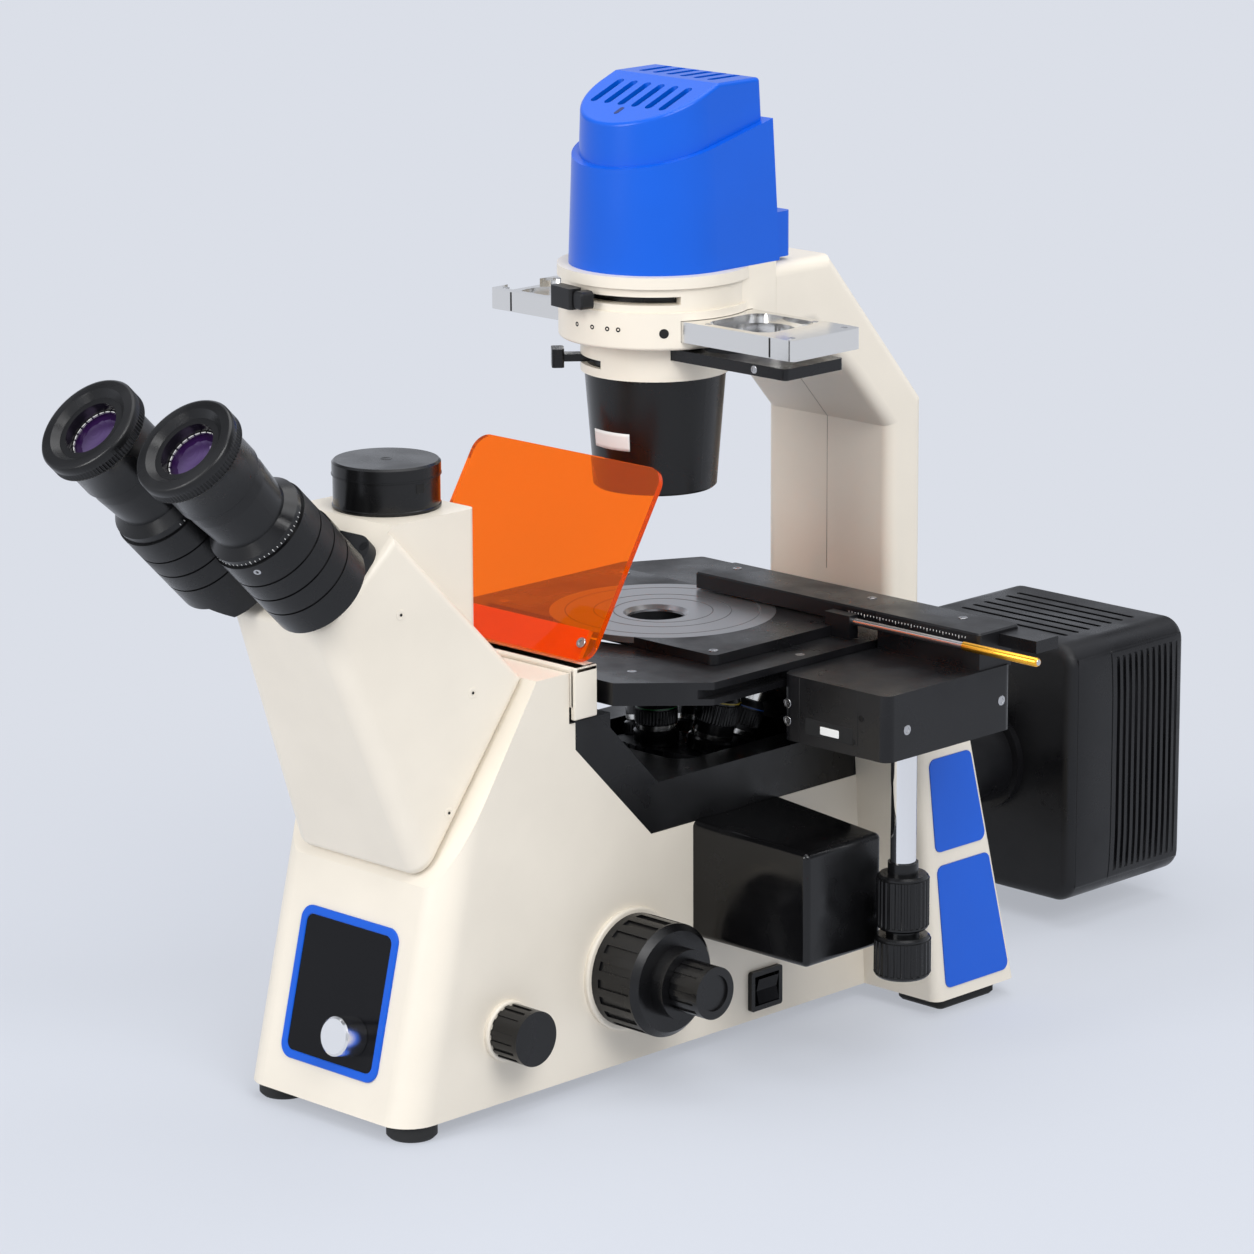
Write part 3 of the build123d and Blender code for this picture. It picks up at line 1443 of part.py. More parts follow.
# Stage: a fixed lower plate on two pads, grooved along its right edge for the drive's tongue
with BuildPart() as lower_plate:
    with BuildSketch(ground.offset(plate_top - plate_thickness)) as plate_plan:
        with BuildLine():
            Polyline((-plate_half_width, plate_front + plate_chamfer),
                     (-plate_half_width + plate_chamfer, plate_front),
                     (plate_half_width - plate_chamfer, plate_front),
                     (plate_half_width, plate_front + plate_chamfer),
                     (plate_half_width, plate_rear - rear_chamfer_y),
                     (plate_half_width - rear_chamfer_x, plate_rear),
                     (-plate_half_width + rear_chamfer_x, plate_rear),
                     (-plate_half_width, plate_rear - rear_chamfer_y), close=True)
        make_face()
        fillet(plate_plan.vertices(), plate_corner)
        Circle(plate_opening, mode=Mode.SUBTRACT)
    extrude(amount=plate_thickness)
    for pad_front, pad_rear, pad_foot in ((plate_front + 1, well_inner_front, well_wall_top + well_lip),
                                          (well_inner_rear, well_shelf_rear, well_wall_top)):
        with BuildSketch(ground.offset(pad_foot)):
            with Locations((0, (pad_front + pad_rear) / 2)):
                Rectangle(2 * pad_half_width, pad_rear - pad_front)
        extrude(amount=plate_top - plate_thickness - pad_foot)
    with BuildSketch(front_at(plate_front)):
        with Locations((plate_half_width, tongue_z)):
            Rectangle(2 * (tongue_depth + slide_gap), tongue_height + 2 * slide_gap)
    extrude(amount=plate_front - plate_rear, mode=Mode.SUBTRACT)
lower_plate.part.label = "stage_lower_plate"
export_step(lower_plate.part, "parts/stage_lower_plate.step")

# Upper plate, which travels to the left and right and carries the insert ring
with BuildPart() as upper_plate:
    with BuildSketch(ground.offset(plate_top + slide_gap)):
        with Locations(((upper_left + upper_right) / 2, (upper_front + upper_rear) / 2)):
            RectangleRounded(upper_right - upper_left, upper_rear - upper_front, upper_corner)
        Circle(upper_bore, mode=Mode.SUBTRACT)
    extrude(amount=stage_top - plate_top - slide_gap)
    with BuildSketch(ground.offset(stage_top - insert_thickness - seat_gap)):
        with Locations((0, insert_y)):
            Circle(insert_radius + seat_gap)
    extrude(amount=insert_thickness + 1, mode=Mode.SUBTRACT)
    # Lug that holds the end of the rack rod
    with BuildSketch(ground.offset(plate_top + slide_gap)):
        with Locations((upper_right + lug_length / 2 - 2, rod_y)):
            Rectangle(lug_length + 4, lug_width)
    extrude(amount=rod_z + lug_width / 2 - plate_top - slide_gap)
    with BuildSketch(side_at(upper_right - 5)):
        with Locations((rod_y, rod_z)):
            Circle(rod_radius)
    extrude(amount=lug_length + 6, mode=Mode.SUBTRACT)
upper_plate.part.label = "stage_upper_plate"
export_step(upper_plate.part, "parts/stage_upper_plate.step")

with BuildPart() as insert:
    with BuildSketch(ground.offset(stage_top - insert_thickness)):
        with Locations((0, insert_y)):
            Circle(insert_radius)
        Circle(insert_opening, mode=Mode.SUBTRACT)
    extrude(amount=insert_thickness)
    chamfer(insert.faces().sort_by(Axis.Z)[-1].edges().sort_by(SortBy.LENGTH)[0], insert_bevel)
insert.part.label = "stage_insert"
export_step(insert.part, "parts/stage_insert.step")

# Rack rod, fixed in the upper plate's lug
with BuildPart() as rod:
    with BuildSketch(side_at(upper_right - 5)):
        with Locations((rod_y, rod_z)):
            Circle(rod_radius)
    extrude(amount=rod_tip - upper_right + 5)
    chamfer(rod.edges().filter_by(GeomType.CIRCLE), rod_radius / 4)
rod.part.label = "rack_rod"
export_step(rod.part, "parts/rack_rod.step")

# Rail over the upper plate, with the end block at its right
with BuildPart() as rail:
    with BuildSketch(ground.offset(rail_top - rail_thickness)):
        with Locations(((rail_left + rail_right) / 2, (rail_front + rail_rear) / 2)):
            RectangleRounded(rail_right - rail_left, rail_rear - rail_front, 2)
    extrude(amount=rail_thickness)
    chamfer(rail.faces().sort_by(Axis.Z)[-1].edges(), 0.8)
    with BuildSketch(ground.offset(rail_top - rail_thickness)):
        with Locations((rail_right + end_block_length / 2 - 1, end_block_y)):
            Rectangle(end_block_length + 2, end_block_width)
    extrude(amount=rail_thickness - 2)
rail.part.label = "stage_rail"
export_step(rail.part, "parts/stage_rail.step")

# Drive box beside the stage: open below, with the tongue for the plate's groove and the bridge to the rail
with BuildPart() as drive_box:
    with BuildSketch(ground.offset(drive_bottom)) as drive_plan:
        with Locations(((drive_left + drive_right) / 2, (drive_front + drive_rear) / 2)):
            RectangleRounded(drive_right - drive_left, drive_rear - drive_front, drive_corner)
    extrude(amount=drive_top - drive_bottom)
    with BuildSketch(ground.offset(drive_bottom)):
        with Locations(((drive_left + drive_right) / 2, (drive_front + drive_rear) / 2)):
            RectangleRounded(drive_right - drive_left - 2 * drive_wall, drive_rear - drive_front - 2 * drive_wall,
                             drive_corner - drive_wall)
        with Locations((post_x, post_y)):
            Circle(post_radius + drive_wall, mode=Mode.SUBTRACT)
    extrude(amount=drive_top - drive_bottom - drive_wall, mode=Mode.SUBTRACT)
    with BuildSketch(ground.offset(drive_bottom)):
        with Locations((post_x, post_y)):
            Circle(post_radius)
    extrude(amount=drive_top - drive_bottom - drive_wall, mode=Mode.SUBTRACT)
    with BuildSketch(ground.offset(drive_top - 1)):
        with Locations(((drive_left + drive_right) / 2, (rail_front + drive_rear) / 2)):
            Rectangle(drive_right - drive_left - 2, drive_rear - rail_front)
    extrude(amount=rail_top - rail_thickness - drive_top + 1)
    with BuildSketch(ground.offset(tongue_z - tongue_height / 2)):
        with Locations(((plate_half_width - tongue_depth + drive_left + 1) / 2, (drive_front + drive_rear) / 2)):
            Rectangle(drive_left + 1 - plate_half_width + tongue_depth, drive_rear - drive_front - 2 * drive_corner)
    extrude(amount=tongue_height)
drive_box.part.label = "stage_drive_box"
export_step(drive_box.part, "parts/stage_drive_box.step")

# Post under the drive box, with the stem that both stage knobs turn on
with BuildPart(ground) as post:
    with Locations((post_x, post_y, post_bottom)):
        Cylinder(post_radius, drive_top - drive_wall - post_bottom,
                 align=(Align.CENTER, Align.CENTER, Align.MIN))
        Cylinder(stem_radius, post_bottom - y_knob_top + y_knob_length - 2,
                 align=(Align.CENTER, Align.CENTER, Align.MAX))
post.part.label = "stage_post"
export_step(post.part, "parts/stage_post.step")


def stage_knob(top, length, radius, hub, hub_length):
    """A knurled knob on the stem, with a smooth hub above it."""
    with BuildPart(ground) as knob:
        with Locations((post_x, post_y, top)):
            Cylinder(radius, length, align=(Align.CENTER, Align.CENTER, Align.MAX))
            Cylinder(hub, hub_length, align=(Align.CENTER, Align.CENTER, Align.MIN))
        chamfer(knob.edges().filter_by(lambda e: e.geom_type == GeomType.CIRCLE and e.radius > radius - 0.1), 1)
        grip = Plane((axis_x + post_x, axis_y + post_y, top - length + 3))
        add(knurl(radius, 32, 0.6, length - 6, grip), mode=Mode.SUBTRACT)
        with Locations((post_x, post_y, top)):
            Cylinder(stem_radius + running, 3 * length, mode=Mode.SUBTRACT)
    return knob.part


with BuildPart() as x_knob:
    add(stage_knob(x_knob_top, x_knob_length, x_knob_radius, x_knob_radius * 0.6, post_bottom - x_knob_top - slide_gap))
x_knob.part.label = "x_knob"
export_step(x_knob.part, "parts/x_knob.step")

with BuildPart() as y_knob:
    add(stage_knob(y_knob_top, y_knob_length, y_knob_radius, y_knob_radius * 0.6,
                   x_knob_top - x_knob_length - y_knob_top - slide_gap))
y_knob.part.label = "y_knob"
export_step(y_knob.part, "parts/y_knob.step")

# Light shield: a folded bracket behind the shoulder and the orange panel on its tilted lip
shield_face = Plane((axis_x, axis_y + shield_foot_y, shield_foot_z), x_dir=(1, 0, 0),
                    z_dir=(0, -cos(radians(shield_lean)), sin(radians(shield_lean))))
with BuildPart() as bracket:
    with BuildSketch(front_at(bracket_rear)):
        with BuildLine():
            Polyline((-bracket_half_width, bracket_bottom), (-bracket_half_width, bracket_top),
                     (bracket_half_width, bracket_top), (bracket_half_width, bracket_bottom),
                     (bracket_half_width - bracket_sheet, bracket_bottom),
                     (bracket_half_width - bracket_sheet, bracket_top - bracket_sheet),
                     (bracket_sheet - bracket_half_width, bracket_top - bracket_sheet),
                     (bracket_sheet - bracket_half_width, bracket_bottom), close=True)
        make_face()
    extrude(amount=bracket_rear - bracket_front)
    with BuildSketch(front_at(bracket_front + bracket_sheet)):
        with Locations((0, (bracket_top + bracket_flange) / 2)):
            Rectangle(2 * bracket_half_width - 2, bracket_top - bracket_flange)
    extrude(amount=bracket_sheet)
    with BuildSketch(shield_face):
        with Locations((0, (bracket_lip - lip_root) / 2)):
            Rectangle(2 * lip_half_width, bracket_lip + lip_root)
    extrude(amount=bracket_sheet)
bracket.part.label = "shield_bracket"
export_step(bracket.part, "parts/shield_bracket.step")

with BuildPart() as shield:
    with BuildSketch(shield_face.offset(-seat_gap)):
        with Locations((0, shield_height / 2)):
            RectangleRounded(2 * shield_half_width, shield_height, shield_corner)
    extrude(amount=-shield_thickness)
shield.part.label = "uv_shield"
export_step(shield.part, "parts/uv_shield.step")

# Turret: every objective's axis runs through the apex, and the turret's own axis leans to the rear
turret_apex = turret_seat - turret_pitch_radius / sin(radians(turret_tilt))
turret_axis = Axis((axis_x, axis_y, turret_apex), (0, sin(radians(turret_tilt)), cos(radians(turret_tilt))))
turret_seat_height = (turret_seat - turret_apex) * cos(radians(turret_tilt))


def turret_floor(height):
    """Plane across the turret's axis at a height above the apex."""
    return Plane(turret_axis.position + turret_axis.direction * height, x_dir=(1, 0, 0),
                 z_dir=turret_axis.direction)


def objective_seat(place):
    """Plane of an objective's seat on the turret, a number of places round from the active one."""
    turn = 360 / objective_count * place
    around = Axis((0, 0, 0), turret_axis.direction)
    upward = Vector(0, 0, 1).rotate(around, turn)
    return Plane(turret_axis.position + upward * (turret_seat - turret_apex),
                 x_dir=Vector(1, 0, 0).rotate(around, turn), z_dir=upward)


turret_half = Plane(turret_axis.position, x_dir=(1, 0, 0), z_dir=(0, -cos(radians(turret_tilt)),
                                                                sin(radians(turret_tilt))))
slope_run = tan(radians(turret_tilt))
with BuildPart() as turret:
    with BuildSketch(turret_half):
        with BuildLine():
            Polyline((turret_pivot + running, turret_base), (turret_radius - turret_bevel, turret_base),
                     (turret_radius, turret_base + turret_bevel),
                     (turret_radius, turret_seat_height - (turret_radius - turret_pitch_radius) * slope_run),
                     (turret_crown, turret_seat_height + (turret_pitch_radius - turret_crown) * slope_run),
                     (turret_pivot + running, turret_seat_height + (turret_pitch_radius - turret_crown) * slope_run),
                     close=True)
        make_face()
    revolve(axis=turret_axis)
    add(knurl(turret_radius, 40, 0.6, turret_rim, turret_floor(turret_base + turret_bevel)), mode=Mode.SUBTRACT)
    for place in range(objective_count):
        with BuildSketch(objective_seat(place).offset(1)):
            Circle(objective_thread)
        extrude(amount=-turret_thread_depth - 1, mode=Mode.SUBTRACT)
turret.part.label = "turret"
export_step(turret.part, "parts/turret.step")

# Objectives: stepped barrels of different lengths with knurled collars
with BuildPart() as objectives:
    for place, length in enumerate(objective_lengths):
        seat = objective_seat(place - active_place)
        with BuildSketch(Plane(seat.origin, x_dir=seat.x_dir, z_dir=-seat.y_dir)):
            with BuildLine():
                Polyline((0, -turret_thread_depth + 1), (objective_thread, -turret_thread_depth + 1),
                         (objective_thread, 0), (objective_collar, 0), (objective_collar, 6),
                         (objective_radius, 7), (objective_radius, length * 0.55),
                         (objective_radius - 1.5, length * 0.62), (objective_radius - 1.5, length * 0.78),
                         (objective_tip, length), (objective_tip - 1.5, length),
                         (objective_tip - 2.5, length - 1), (0, length - 1), close=True)
            make_face()
        revolve(axis=Axis(seat.origin, seat.z_dir))
        add(knurl(objective_collar, 30, 0.4, 4, seat.offset(1)), mode=Mode.SUBTRACT)
objectives.part.label = "objectives"
export_step(objectives.part, "parts/objectives.step")

# Nosepiece carrier: the plate with the turret's pivot pin, and the arm to the slide behind
with BuildPart() as carrier:
    with BuildSketch(turret_floor(carrier_plate_foot)):
        Circle(carrier_plate_radius)
    extrude(amount=turret_base - slide_gap - carrier_plate_foot)
    with BuildSketch(turret_floor(carrier_plate_foot)):
        Circle(turret_pivot)
    extrude(amount=turret_base + turret_radius / 2 - carrier_plate_foot)
    with BuildSketch(ground.offset(carrier_low)):
        with Locations((0, (carrier_y - carrier_back + carrier_bar_front) / 2)):
            Rectangle(carrier_width, carrier_y - carrier_back - carrier_bar_front)
    extrude(amount=carrier_bar_height)
    with BuildSketch(ground.offset(carrier_low - carrier_slide_drop)):
        with Locations((0, carrier_y + (guide_depth - 2 - carrier_back) / 2)):
            Rectangle(carrier_width, carrier_back + guide_depth - 2)
        with Locations((0, carrier_y + guide_depth / 2)):
            Rectangle(guide_width + 2 * running, guide_depth, mode=Mode.SUBTRACT)
    extrude(amount=carrier_slide_drop + carrier_bar_height)
    with BuildSketch(ground.offset(carrier_low - 10)):
        Circle(light_hole_radius)
    extrude(amount=carrier_bar_height + 40, mode=Mode.SUBTRACT)
carrier.part.label = "nosepiece_carrier"
export_step(carrier.part, "parts/nosepiece_carrier.step")

# Focus guide: the upright rail in the base that the carrier slides on
with BuildPart() as guide:
    with BuildSketch(ground.offset(foot_height + bottom_plate_thickness)):
        with Locations((0, carrier_y + running + guide_depth / 2)):
            Rectangle(guide_width, guide_depth)
    extrude(amount=guide_top - foot_height - bottom_plate_thickness)
    with BuildSketch(ground.offset(foot_height + bottom_plate_thickness)):
        with Locations((0, carrier_y + guide_depth)):
            Rectangle(guide_width + 30, guide_depth)
    extrude(amount=10)
guide.part.label = "focus_guide"
export_step(guide.part, "parts/focus_guide.step")

# Rear lamp housing: two shells that meet across the light axis, vented at the sides and on top
def lamp_form(inset):
    """The lamp housing's rounded block, inset by the wall for its hollow."""
    with BuildPart() as block:
        with BuildSketch(front_at(rear_lamp_front + inset)):
            with Locations((0, (rear_lamp_bottom + rear_lamp_top) / 2)):
                RectangleRounded(2 * (rear_lamp_half_width - inset), rear_lamp_top - rear_lamp_bottom - 2 * inset,
                                 rear_lamp_corner - inset)
        extrude(amount=rear_lamp_front - rear_lamp_rear + 2 * inset)
        ends = [e for face_end in (block.faces().sort_by(Axis.Y)[0], block.faces().sort_by(Axis.Y)[-1])
                for e in face_end.edges()]
        fillet(ends, rear_lamp_edge - inset)
    return block.part


def lamp_shell(front, rear):
    """The slice of the lamp housing between two depths, with its vents and light opening."""
    with BuildPart() as shell:
        add(lamp_form(0))
        add(lamp_form(rear_lamp_wall), mode=Mode.SUBTRACT)
        with BuildSketch(front_at(rear_lamp_front - 1)):
            with Locations((0, tube_z)):
                Circle(tube_radius - tube_wall)
        extrude(amount=-rear_lamp_wall - 2, mode=Mode.SUBTRACT)
        with BuildSketch(side_at(-rear_lamp_half_width - 1)):
            with Locations(((rear_lamp_front + rear_lamp_rear) / 2, louvre_middle)):
                with GridLocations(louvre_pitch, 1, louvre_count, 1):
                    SlotOverall(louvre_length, louvre_width, rotation=90)
        extrude(amount=2 * rear_lamp_half_width + 2, mode=Mode.SUBTRACT)
        with BuildSketch(ground.offset(rear_lamp_top + 1)):
            with Locations((0, (rear_lamp_front + rear_lamp_rear) / 2)):
                with GridLocations(1, top_louvre_pitch, 1, top_louvre_count):
                    SlotOverall(top_louvre_length, louvre_width)
        extrude(amount=-rear_lamp_wall - 2, mode=Mode.SUBTRACT)
        with BuildSketch(front_at(front)):
            Rectangle(4 * rear_lamp_top, 4 * rear_lamp_top)
        extrude(amount=front - rear, mode=Mode.INTERSECT)
    return shell.part


with BuildPart() as lamp_front:
    add(lamp_shell(rear_lamp_front, rear_lamp_split))
lamp_front.part.label = "lamp_front_shell"
export_step(lamp_front.part, "parts/lamp_front_shell.step")

with BuildPart() as lamp_rear:
    add(lamp_shell(rear_lamp_split, rear_lamp_rear))
lamp_rear.part.label = "lamp_rear_shell"
export_step(lamp_rear.part, "parts/lamp_rear_shell.step")

# Illuminator tube between the base and the lamp housing, with a flange at each end
with BuildPart() as tube:
    with BuildSketch(front_at(base_rear)):
        with Locations((0, tube_z)):
            Circle(tube_radius)
    extrude(amount=base_rear - rear_lamp_front)
    with BuildSketch(front_at(base_rear), front_at(rear_lamp_front - tube_flange)):
        with Locations((0, tube_z)):
            Circle(tube_radius + tube_flange)
    extrude(amount=-tube_flange)
    with BuildSketch(front_at(base_rear - 1)):
        with Locations((0, tube_z)):
            Circle(tube_radius - tube_wall)
    extrude(amount=base_rear - rear_lamp_front - 2, mode=Mode.SUBTRACT)
tube.part.label = "illuminator_tube"
export_step(tube.part, "parts/illuminator_tube.step")

# Arc lamp: a quartz bulb with its two stems, upright in a holder on the housing's floor
with BuildPart(ground) as arc_lamp:
    with Locations((0, arc_lamp_y, rear_lamp_bottom + rear_lamp_wall)):
        Cylinder(18, 6, align=(Align.CENTER, Align.CENTER, Align.MIN))
        Cylinder(10, 22, align=(Align.CENTER, Align.CENTER, Align.MIN))
        Cylinder(5, tube_z - rear_lamp_bottom - rear_lamp_wall + 40, align=(Align.CENTER, Align.CENTER, Align.MIN))
    with Locations((0, arc_lamp_y, tube_z)):
        Sphere(9)
arc_lamp.part.label = "arc_lamp"
export_step(arc_lamp.part, "parts/arc_lamp.step")

# Mains inlet: a recessed socket with three pins in the base's rear wall
with BuildPart() as inlet:
    with BuildSketch(front_at(base_rear + inlet_flange)):
        with Locations((inlet_x, inlet_z)):
            RectangleRounded(inlet_width, inlet_height, 3)
    extrude(amount=inlet_flange)
    with BuildSketch(front_at(base_rear + inlet_flange)):
        with Locations((inlet_x, inlet_z)):
            RectangleRounded(inlet_width - 4, inlet_height - 4, 2)
    extrude(amount=inlet_flange + inlet_depth)
    with BuildSketch(front_at(base_rear + inlet_flange)):
        with Locations((inlet_x, inlet_z)):
            RectangleRounded(inlet_width - 8, inlet_height - 8, 2)
            with Locations((0, 1.5), (-6, -1.5), (6, -1.5)):
                Rectangle(2, 4, mode=Mode.SUBTRACT)
    extrude(amount=inlet_flange + inlet_depth - 3, mode=Mode.SUBTRACT)
inlet.part.label = "mains_inlet"
export_step(inlet.part, "parts/mains_inlet.step")
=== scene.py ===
"""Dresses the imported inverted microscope: finishes for every solid, the small visible pieces, and the studio.

All lengths inside the classes are millimetres measured from the optical axis (x = y = 0) and the table
(z = 0), as on the drawing. Bench.at turns them into the frame's metres. Angles are degrees.
"""

import logging
from dataclasses import dataclass, replace
from enum import Enum
from typing import ClassVar, Sequence

import bmesh
import bpy
import numpy as np
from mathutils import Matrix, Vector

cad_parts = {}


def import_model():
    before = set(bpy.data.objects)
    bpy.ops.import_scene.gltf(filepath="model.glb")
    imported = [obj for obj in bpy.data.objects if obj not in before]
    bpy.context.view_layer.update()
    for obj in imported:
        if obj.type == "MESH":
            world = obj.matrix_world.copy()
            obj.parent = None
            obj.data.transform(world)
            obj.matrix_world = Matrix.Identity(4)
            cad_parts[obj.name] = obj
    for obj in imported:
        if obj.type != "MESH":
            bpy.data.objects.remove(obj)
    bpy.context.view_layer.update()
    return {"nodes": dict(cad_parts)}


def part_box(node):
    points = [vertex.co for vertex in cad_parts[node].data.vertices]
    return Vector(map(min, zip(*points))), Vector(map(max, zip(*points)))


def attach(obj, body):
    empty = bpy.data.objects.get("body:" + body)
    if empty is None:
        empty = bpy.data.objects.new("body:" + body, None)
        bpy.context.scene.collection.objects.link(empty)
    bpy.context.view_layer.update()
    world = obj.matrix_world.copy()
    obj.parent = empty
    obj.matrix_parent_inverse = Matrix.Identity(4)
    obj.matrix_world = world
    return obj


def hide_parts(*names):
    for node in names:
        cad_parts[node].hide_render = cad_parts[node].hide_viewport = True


Piece = bpy.types.Object
Node = bpy.types.Node
Socket = bpy.types.NodeSocket
Nodes = dict[str, Piece]
Pair = tuple[float, float]
Triple = tuple[float, float, float]
Point = Sequence[float]

LOG = logging.getLogger("microscope")
MILLIMETRE = 0.001
FULL_TURN = 2 * np.pi
UP = np.array([0.0, 0.0, 1.0])
RIGHT = np.array([1.0, 0.0, 0.0])
AWAY = np.array([0.0, 1.0, 0.0])
EYE_UP = np.array([0.0, np.sqrt(0.5), np.sqrt(0.5)])
EYE_OUT = np.array([0.0, -np.sqrt(0.5), np.sqrt(0.5)])


class Side(Enum):
    """The user's left or right side of the stand, as a sign on X."""

    LEFT = -1
    RIGHT = 1

    @property
    def word(self) -> str:
        """The side as it stands in the names of pieces and bodies."""
        return self.name.lower()


class Lay(Enum):
    """Direction of the machining marks, as the stretch of the noise along X, Y and Z."""

    ALONG_X = (30.0, 1600.0, 1600.0)
    ALONG_Z = (1600.0, 1600.0, 30.0)
    MATT = (2600.0, 2600.0, 2600.0)


# ---- Shader nodes and shared effects ---------------------------------------------------------------------


class Graph:
    """Adds nodes to one tree, with the values and links of their inputs."""

    def __init__(self, tree: bpy.types.NodeTree) -> None:
        """Keeps the tree."""
        self.tree = tree

    def feed(self, node: Node, inputs: dict[str | int, object]) -> None:
        """Links a socket or sets a value at each input.

        Args:
            node: The node to feed.
            inputs: A socket or a value for each input, given by its name or place.
        """
        for key, value in inputs.items():
            if isinstance(value, Socket):
                self.tree.links.new(value, node.inputs[key])
            else:
                node.inputs[key].default_value = value

    def add(self, kind: str, inputs: dict[str | int, object] | None = None, **settings: object) -> Node:
        """Adds a node.

        Args:
            kind: Its type, without the leading ShaderNode.
            inputs: A socket or a value for each input to feed.
            settings: Values of the node's own properties, set before its inputs are fed.

        Returns:
            The node.
        """
        node = self.tree.nodes.new(f"ShaderNode{kind}")
        for name, value in settings.items():
            setattr(node, name, value)
        self.feed(node, inputs or {})
        return node

    def maths(self, operation: str, *values: object) -> Socket:
        """Adds a Math node over sockets or numbers and returns its result."""
        return self.add("Math", dict(enumerate(values)), operation=operation).outputs[0]

    def vector(self, operation: str, *values: object) -> Socket:
        """Adds a Vector Math node and returns its result, a number for a length or a dot product."""
        node = self.add("VectorMath", dict(enumerate(values)), operation=operation)
        return node.outputs["Value" if operation in ("LENGTH", "DOT_PRODUCT") else "Vector"]

    def bump(self, shader: Node, height: Socket, depth: float) -> None:
        """Puts a height through a Bump node into the shader's normal.

        Args:
            shader: The Principled BSDF.
            height: The height to use.
            depth: The bump's full height in millimetres.
        """
        node = self.add("Bump", {"Strength": 1.0, "Distance": depth * MILLIMETRE, "Height": height})
        self.feed(shader, {"Normal": node.outputs["Normal"]})


class EffectShop:
    """Builds each shared shader effect once, as a node group with named sockets."""

    VECTOR = "NodeSocketVector"
    COLOUR = "NodeSocketColor"
    NUMBER = "NodeSocketFloat"
    MOTTLE_SCALE = 26.0
    MOTTLE_ROUGHNESS = 0.8
    DUST_COLOUR = (0.42, 0.41, 0.39, 1.0)
    DUST_FACING = 0.6

    def __init__(self) -> None:
        """Starts with no groups."""
        self._groups: dict[str, bpy.types.NodeTree] = {}

    def group(self, name: str) -> bpy.types.NodeTree:
        """Returns a group, building it at its first use.

        Args:
            name: One of surface_grain, lathe_rings and tool_marks.

        Returns:
            The node group.
        """
        if name not in self._groups:
            self._groups[name] = getattr(self, name)()
        return self._groups[name]

    @staticmethod
    def _open(name: str, inputs: dict[str, tuple[str, object]], outputs: dict[str, str]
              ) -> tuple[Graph, bpy.types.NodeOutputs, Node]:
        """Makes an empty group with its sockets.

        Args:
            name: The group's name.
            inputs: Socket type and default of each input.
            outputs: Socket type of each output.

        Returns:
            The group's graph, the sockets it is given and its output node.
        """
        tree = bpy.data.node_groups.new(name, "ShaderNodeTree")
        for label, (kind, default) in inputs.items():
            socket = tree.interface.new_socket(label, in_out="INPUT", socket_type=kind)
            if default is not None:
                socket.default_value = default
        for label, kind in outputs.items():
            tree.interface.new_socket(label, in_out="OUTPUT", socket_type=kind)
        return Graph(tree), tree.nodes.new("NodeGroupInput").outputs, tree.nodes.new("NodeGroupOutput")

    def surface_grain(self) -> bpy.types.NodeTree:
        """Fine grain for the bump, slow mottling of the colour, and dust settled on what faces up."""
        graph, given, out = self._open(
            "surface_grain",
            {"Position": (self.VECTOR, None), "Colour": (self.COLOUR, (0.5, 0.5, 0.5, 1)),
             "Roughness": (self.NUMBER, 0.5), "Grain Scale": (self.NUMBER, 900.0),
             "Mottle": (self.NUMBER, 0.05), "Dust": (self.NUMBER, 0.02)},
            {"Colour": self.COLOUR, "Roughness": self.NUMBER, "Height": self.NUMBER})
        fine = graph.add("TexNoise", {"Vector": given["Position"], "Scale": given["Grain Scale"],
                                      "Detail": 4.0, "Roughness": 0.6})
        slow = graph.add("TexNoise", {"Vector": given["Position"], "Scale": self.MOTTLE_SCALE, "Detail": 5.0})
        shade = graph.add("MapRange", {"Value": slow.outputs["Fac"], "From Min": 0.35, "From Max": 0.65,
                                       "To Min": -1.0})
        swing = graph.maths("MULTIPLY", shade.outputs["Result"], given["Mottle"])
        tint = graph.add("VectorMath", {0: given["Colour"], "Scale": graph.maths("ADD", swing, 1.0)},
                         operation="SCALE")
        facing = graph.add("SeparateXYZ", {0: graph.add("NewGeometry").outputs["Normal"]})
        level = graph.add("MapRange", {"Value": facing.outputs["Z"], "From Min": self.DUST_FACING})
        film = graph.maths("MULTIPLY", level.outputs["Result"], given["Dust"])
        patchy = graph.maths("MULTIPLY", film, slow.outputs["Fac"])
        dusted = graph.add("Mix", {"Factor": patchy, "A": tint.outputs[0], "B": self.DUST_COLOUR},
                           data_type="RGBA")
        rough = graph.maths("MULTIPLY_ADD", swing, self.MOTTLE_ROUGHNESS, given["Roughness"])
        graph.feed(out, {"Colour": dusted.outputs["Result"], "Roughness": graph.maths("ADD", rough, patchy),
                         "Height": fine.outputs["Fac"]})
        return graph.tree

    def lathe_rings(self) -> bpy.types.NodeTree:
        """Fine turned rings: a sine of the distance from an axis plus a sine of the distance along it."""
        graph, given, out = self._open(
            "lathe_rings",
            {"Position": (self.VECTOR, None), "Centre": (self.VECTOR, None),
             "Axis": (self.VECTOR, (0, 0, 1)), "Rings": (self.NUMBER, 12000.0)},
            {"Height": self.NUMBER})
        arm = graph.vector("SUBTRACT", given["Position"], given["Centre"])
        along = graph.vector("DOT_PRODUCT", arm, given["Axis"])
        radius = graph.vector("LENGTH", graph.vector("CROSS_PRODUCT", arm, given["Axis"]))
        waves = [graph.maths("SINE", graph.maths("MULTIPLY", distance, given["Rings"]))
                 for distance in (along, radius)]
        graph.feed(out, {"Height": graph.maths("ADD", *waves)})
        return graph.tree

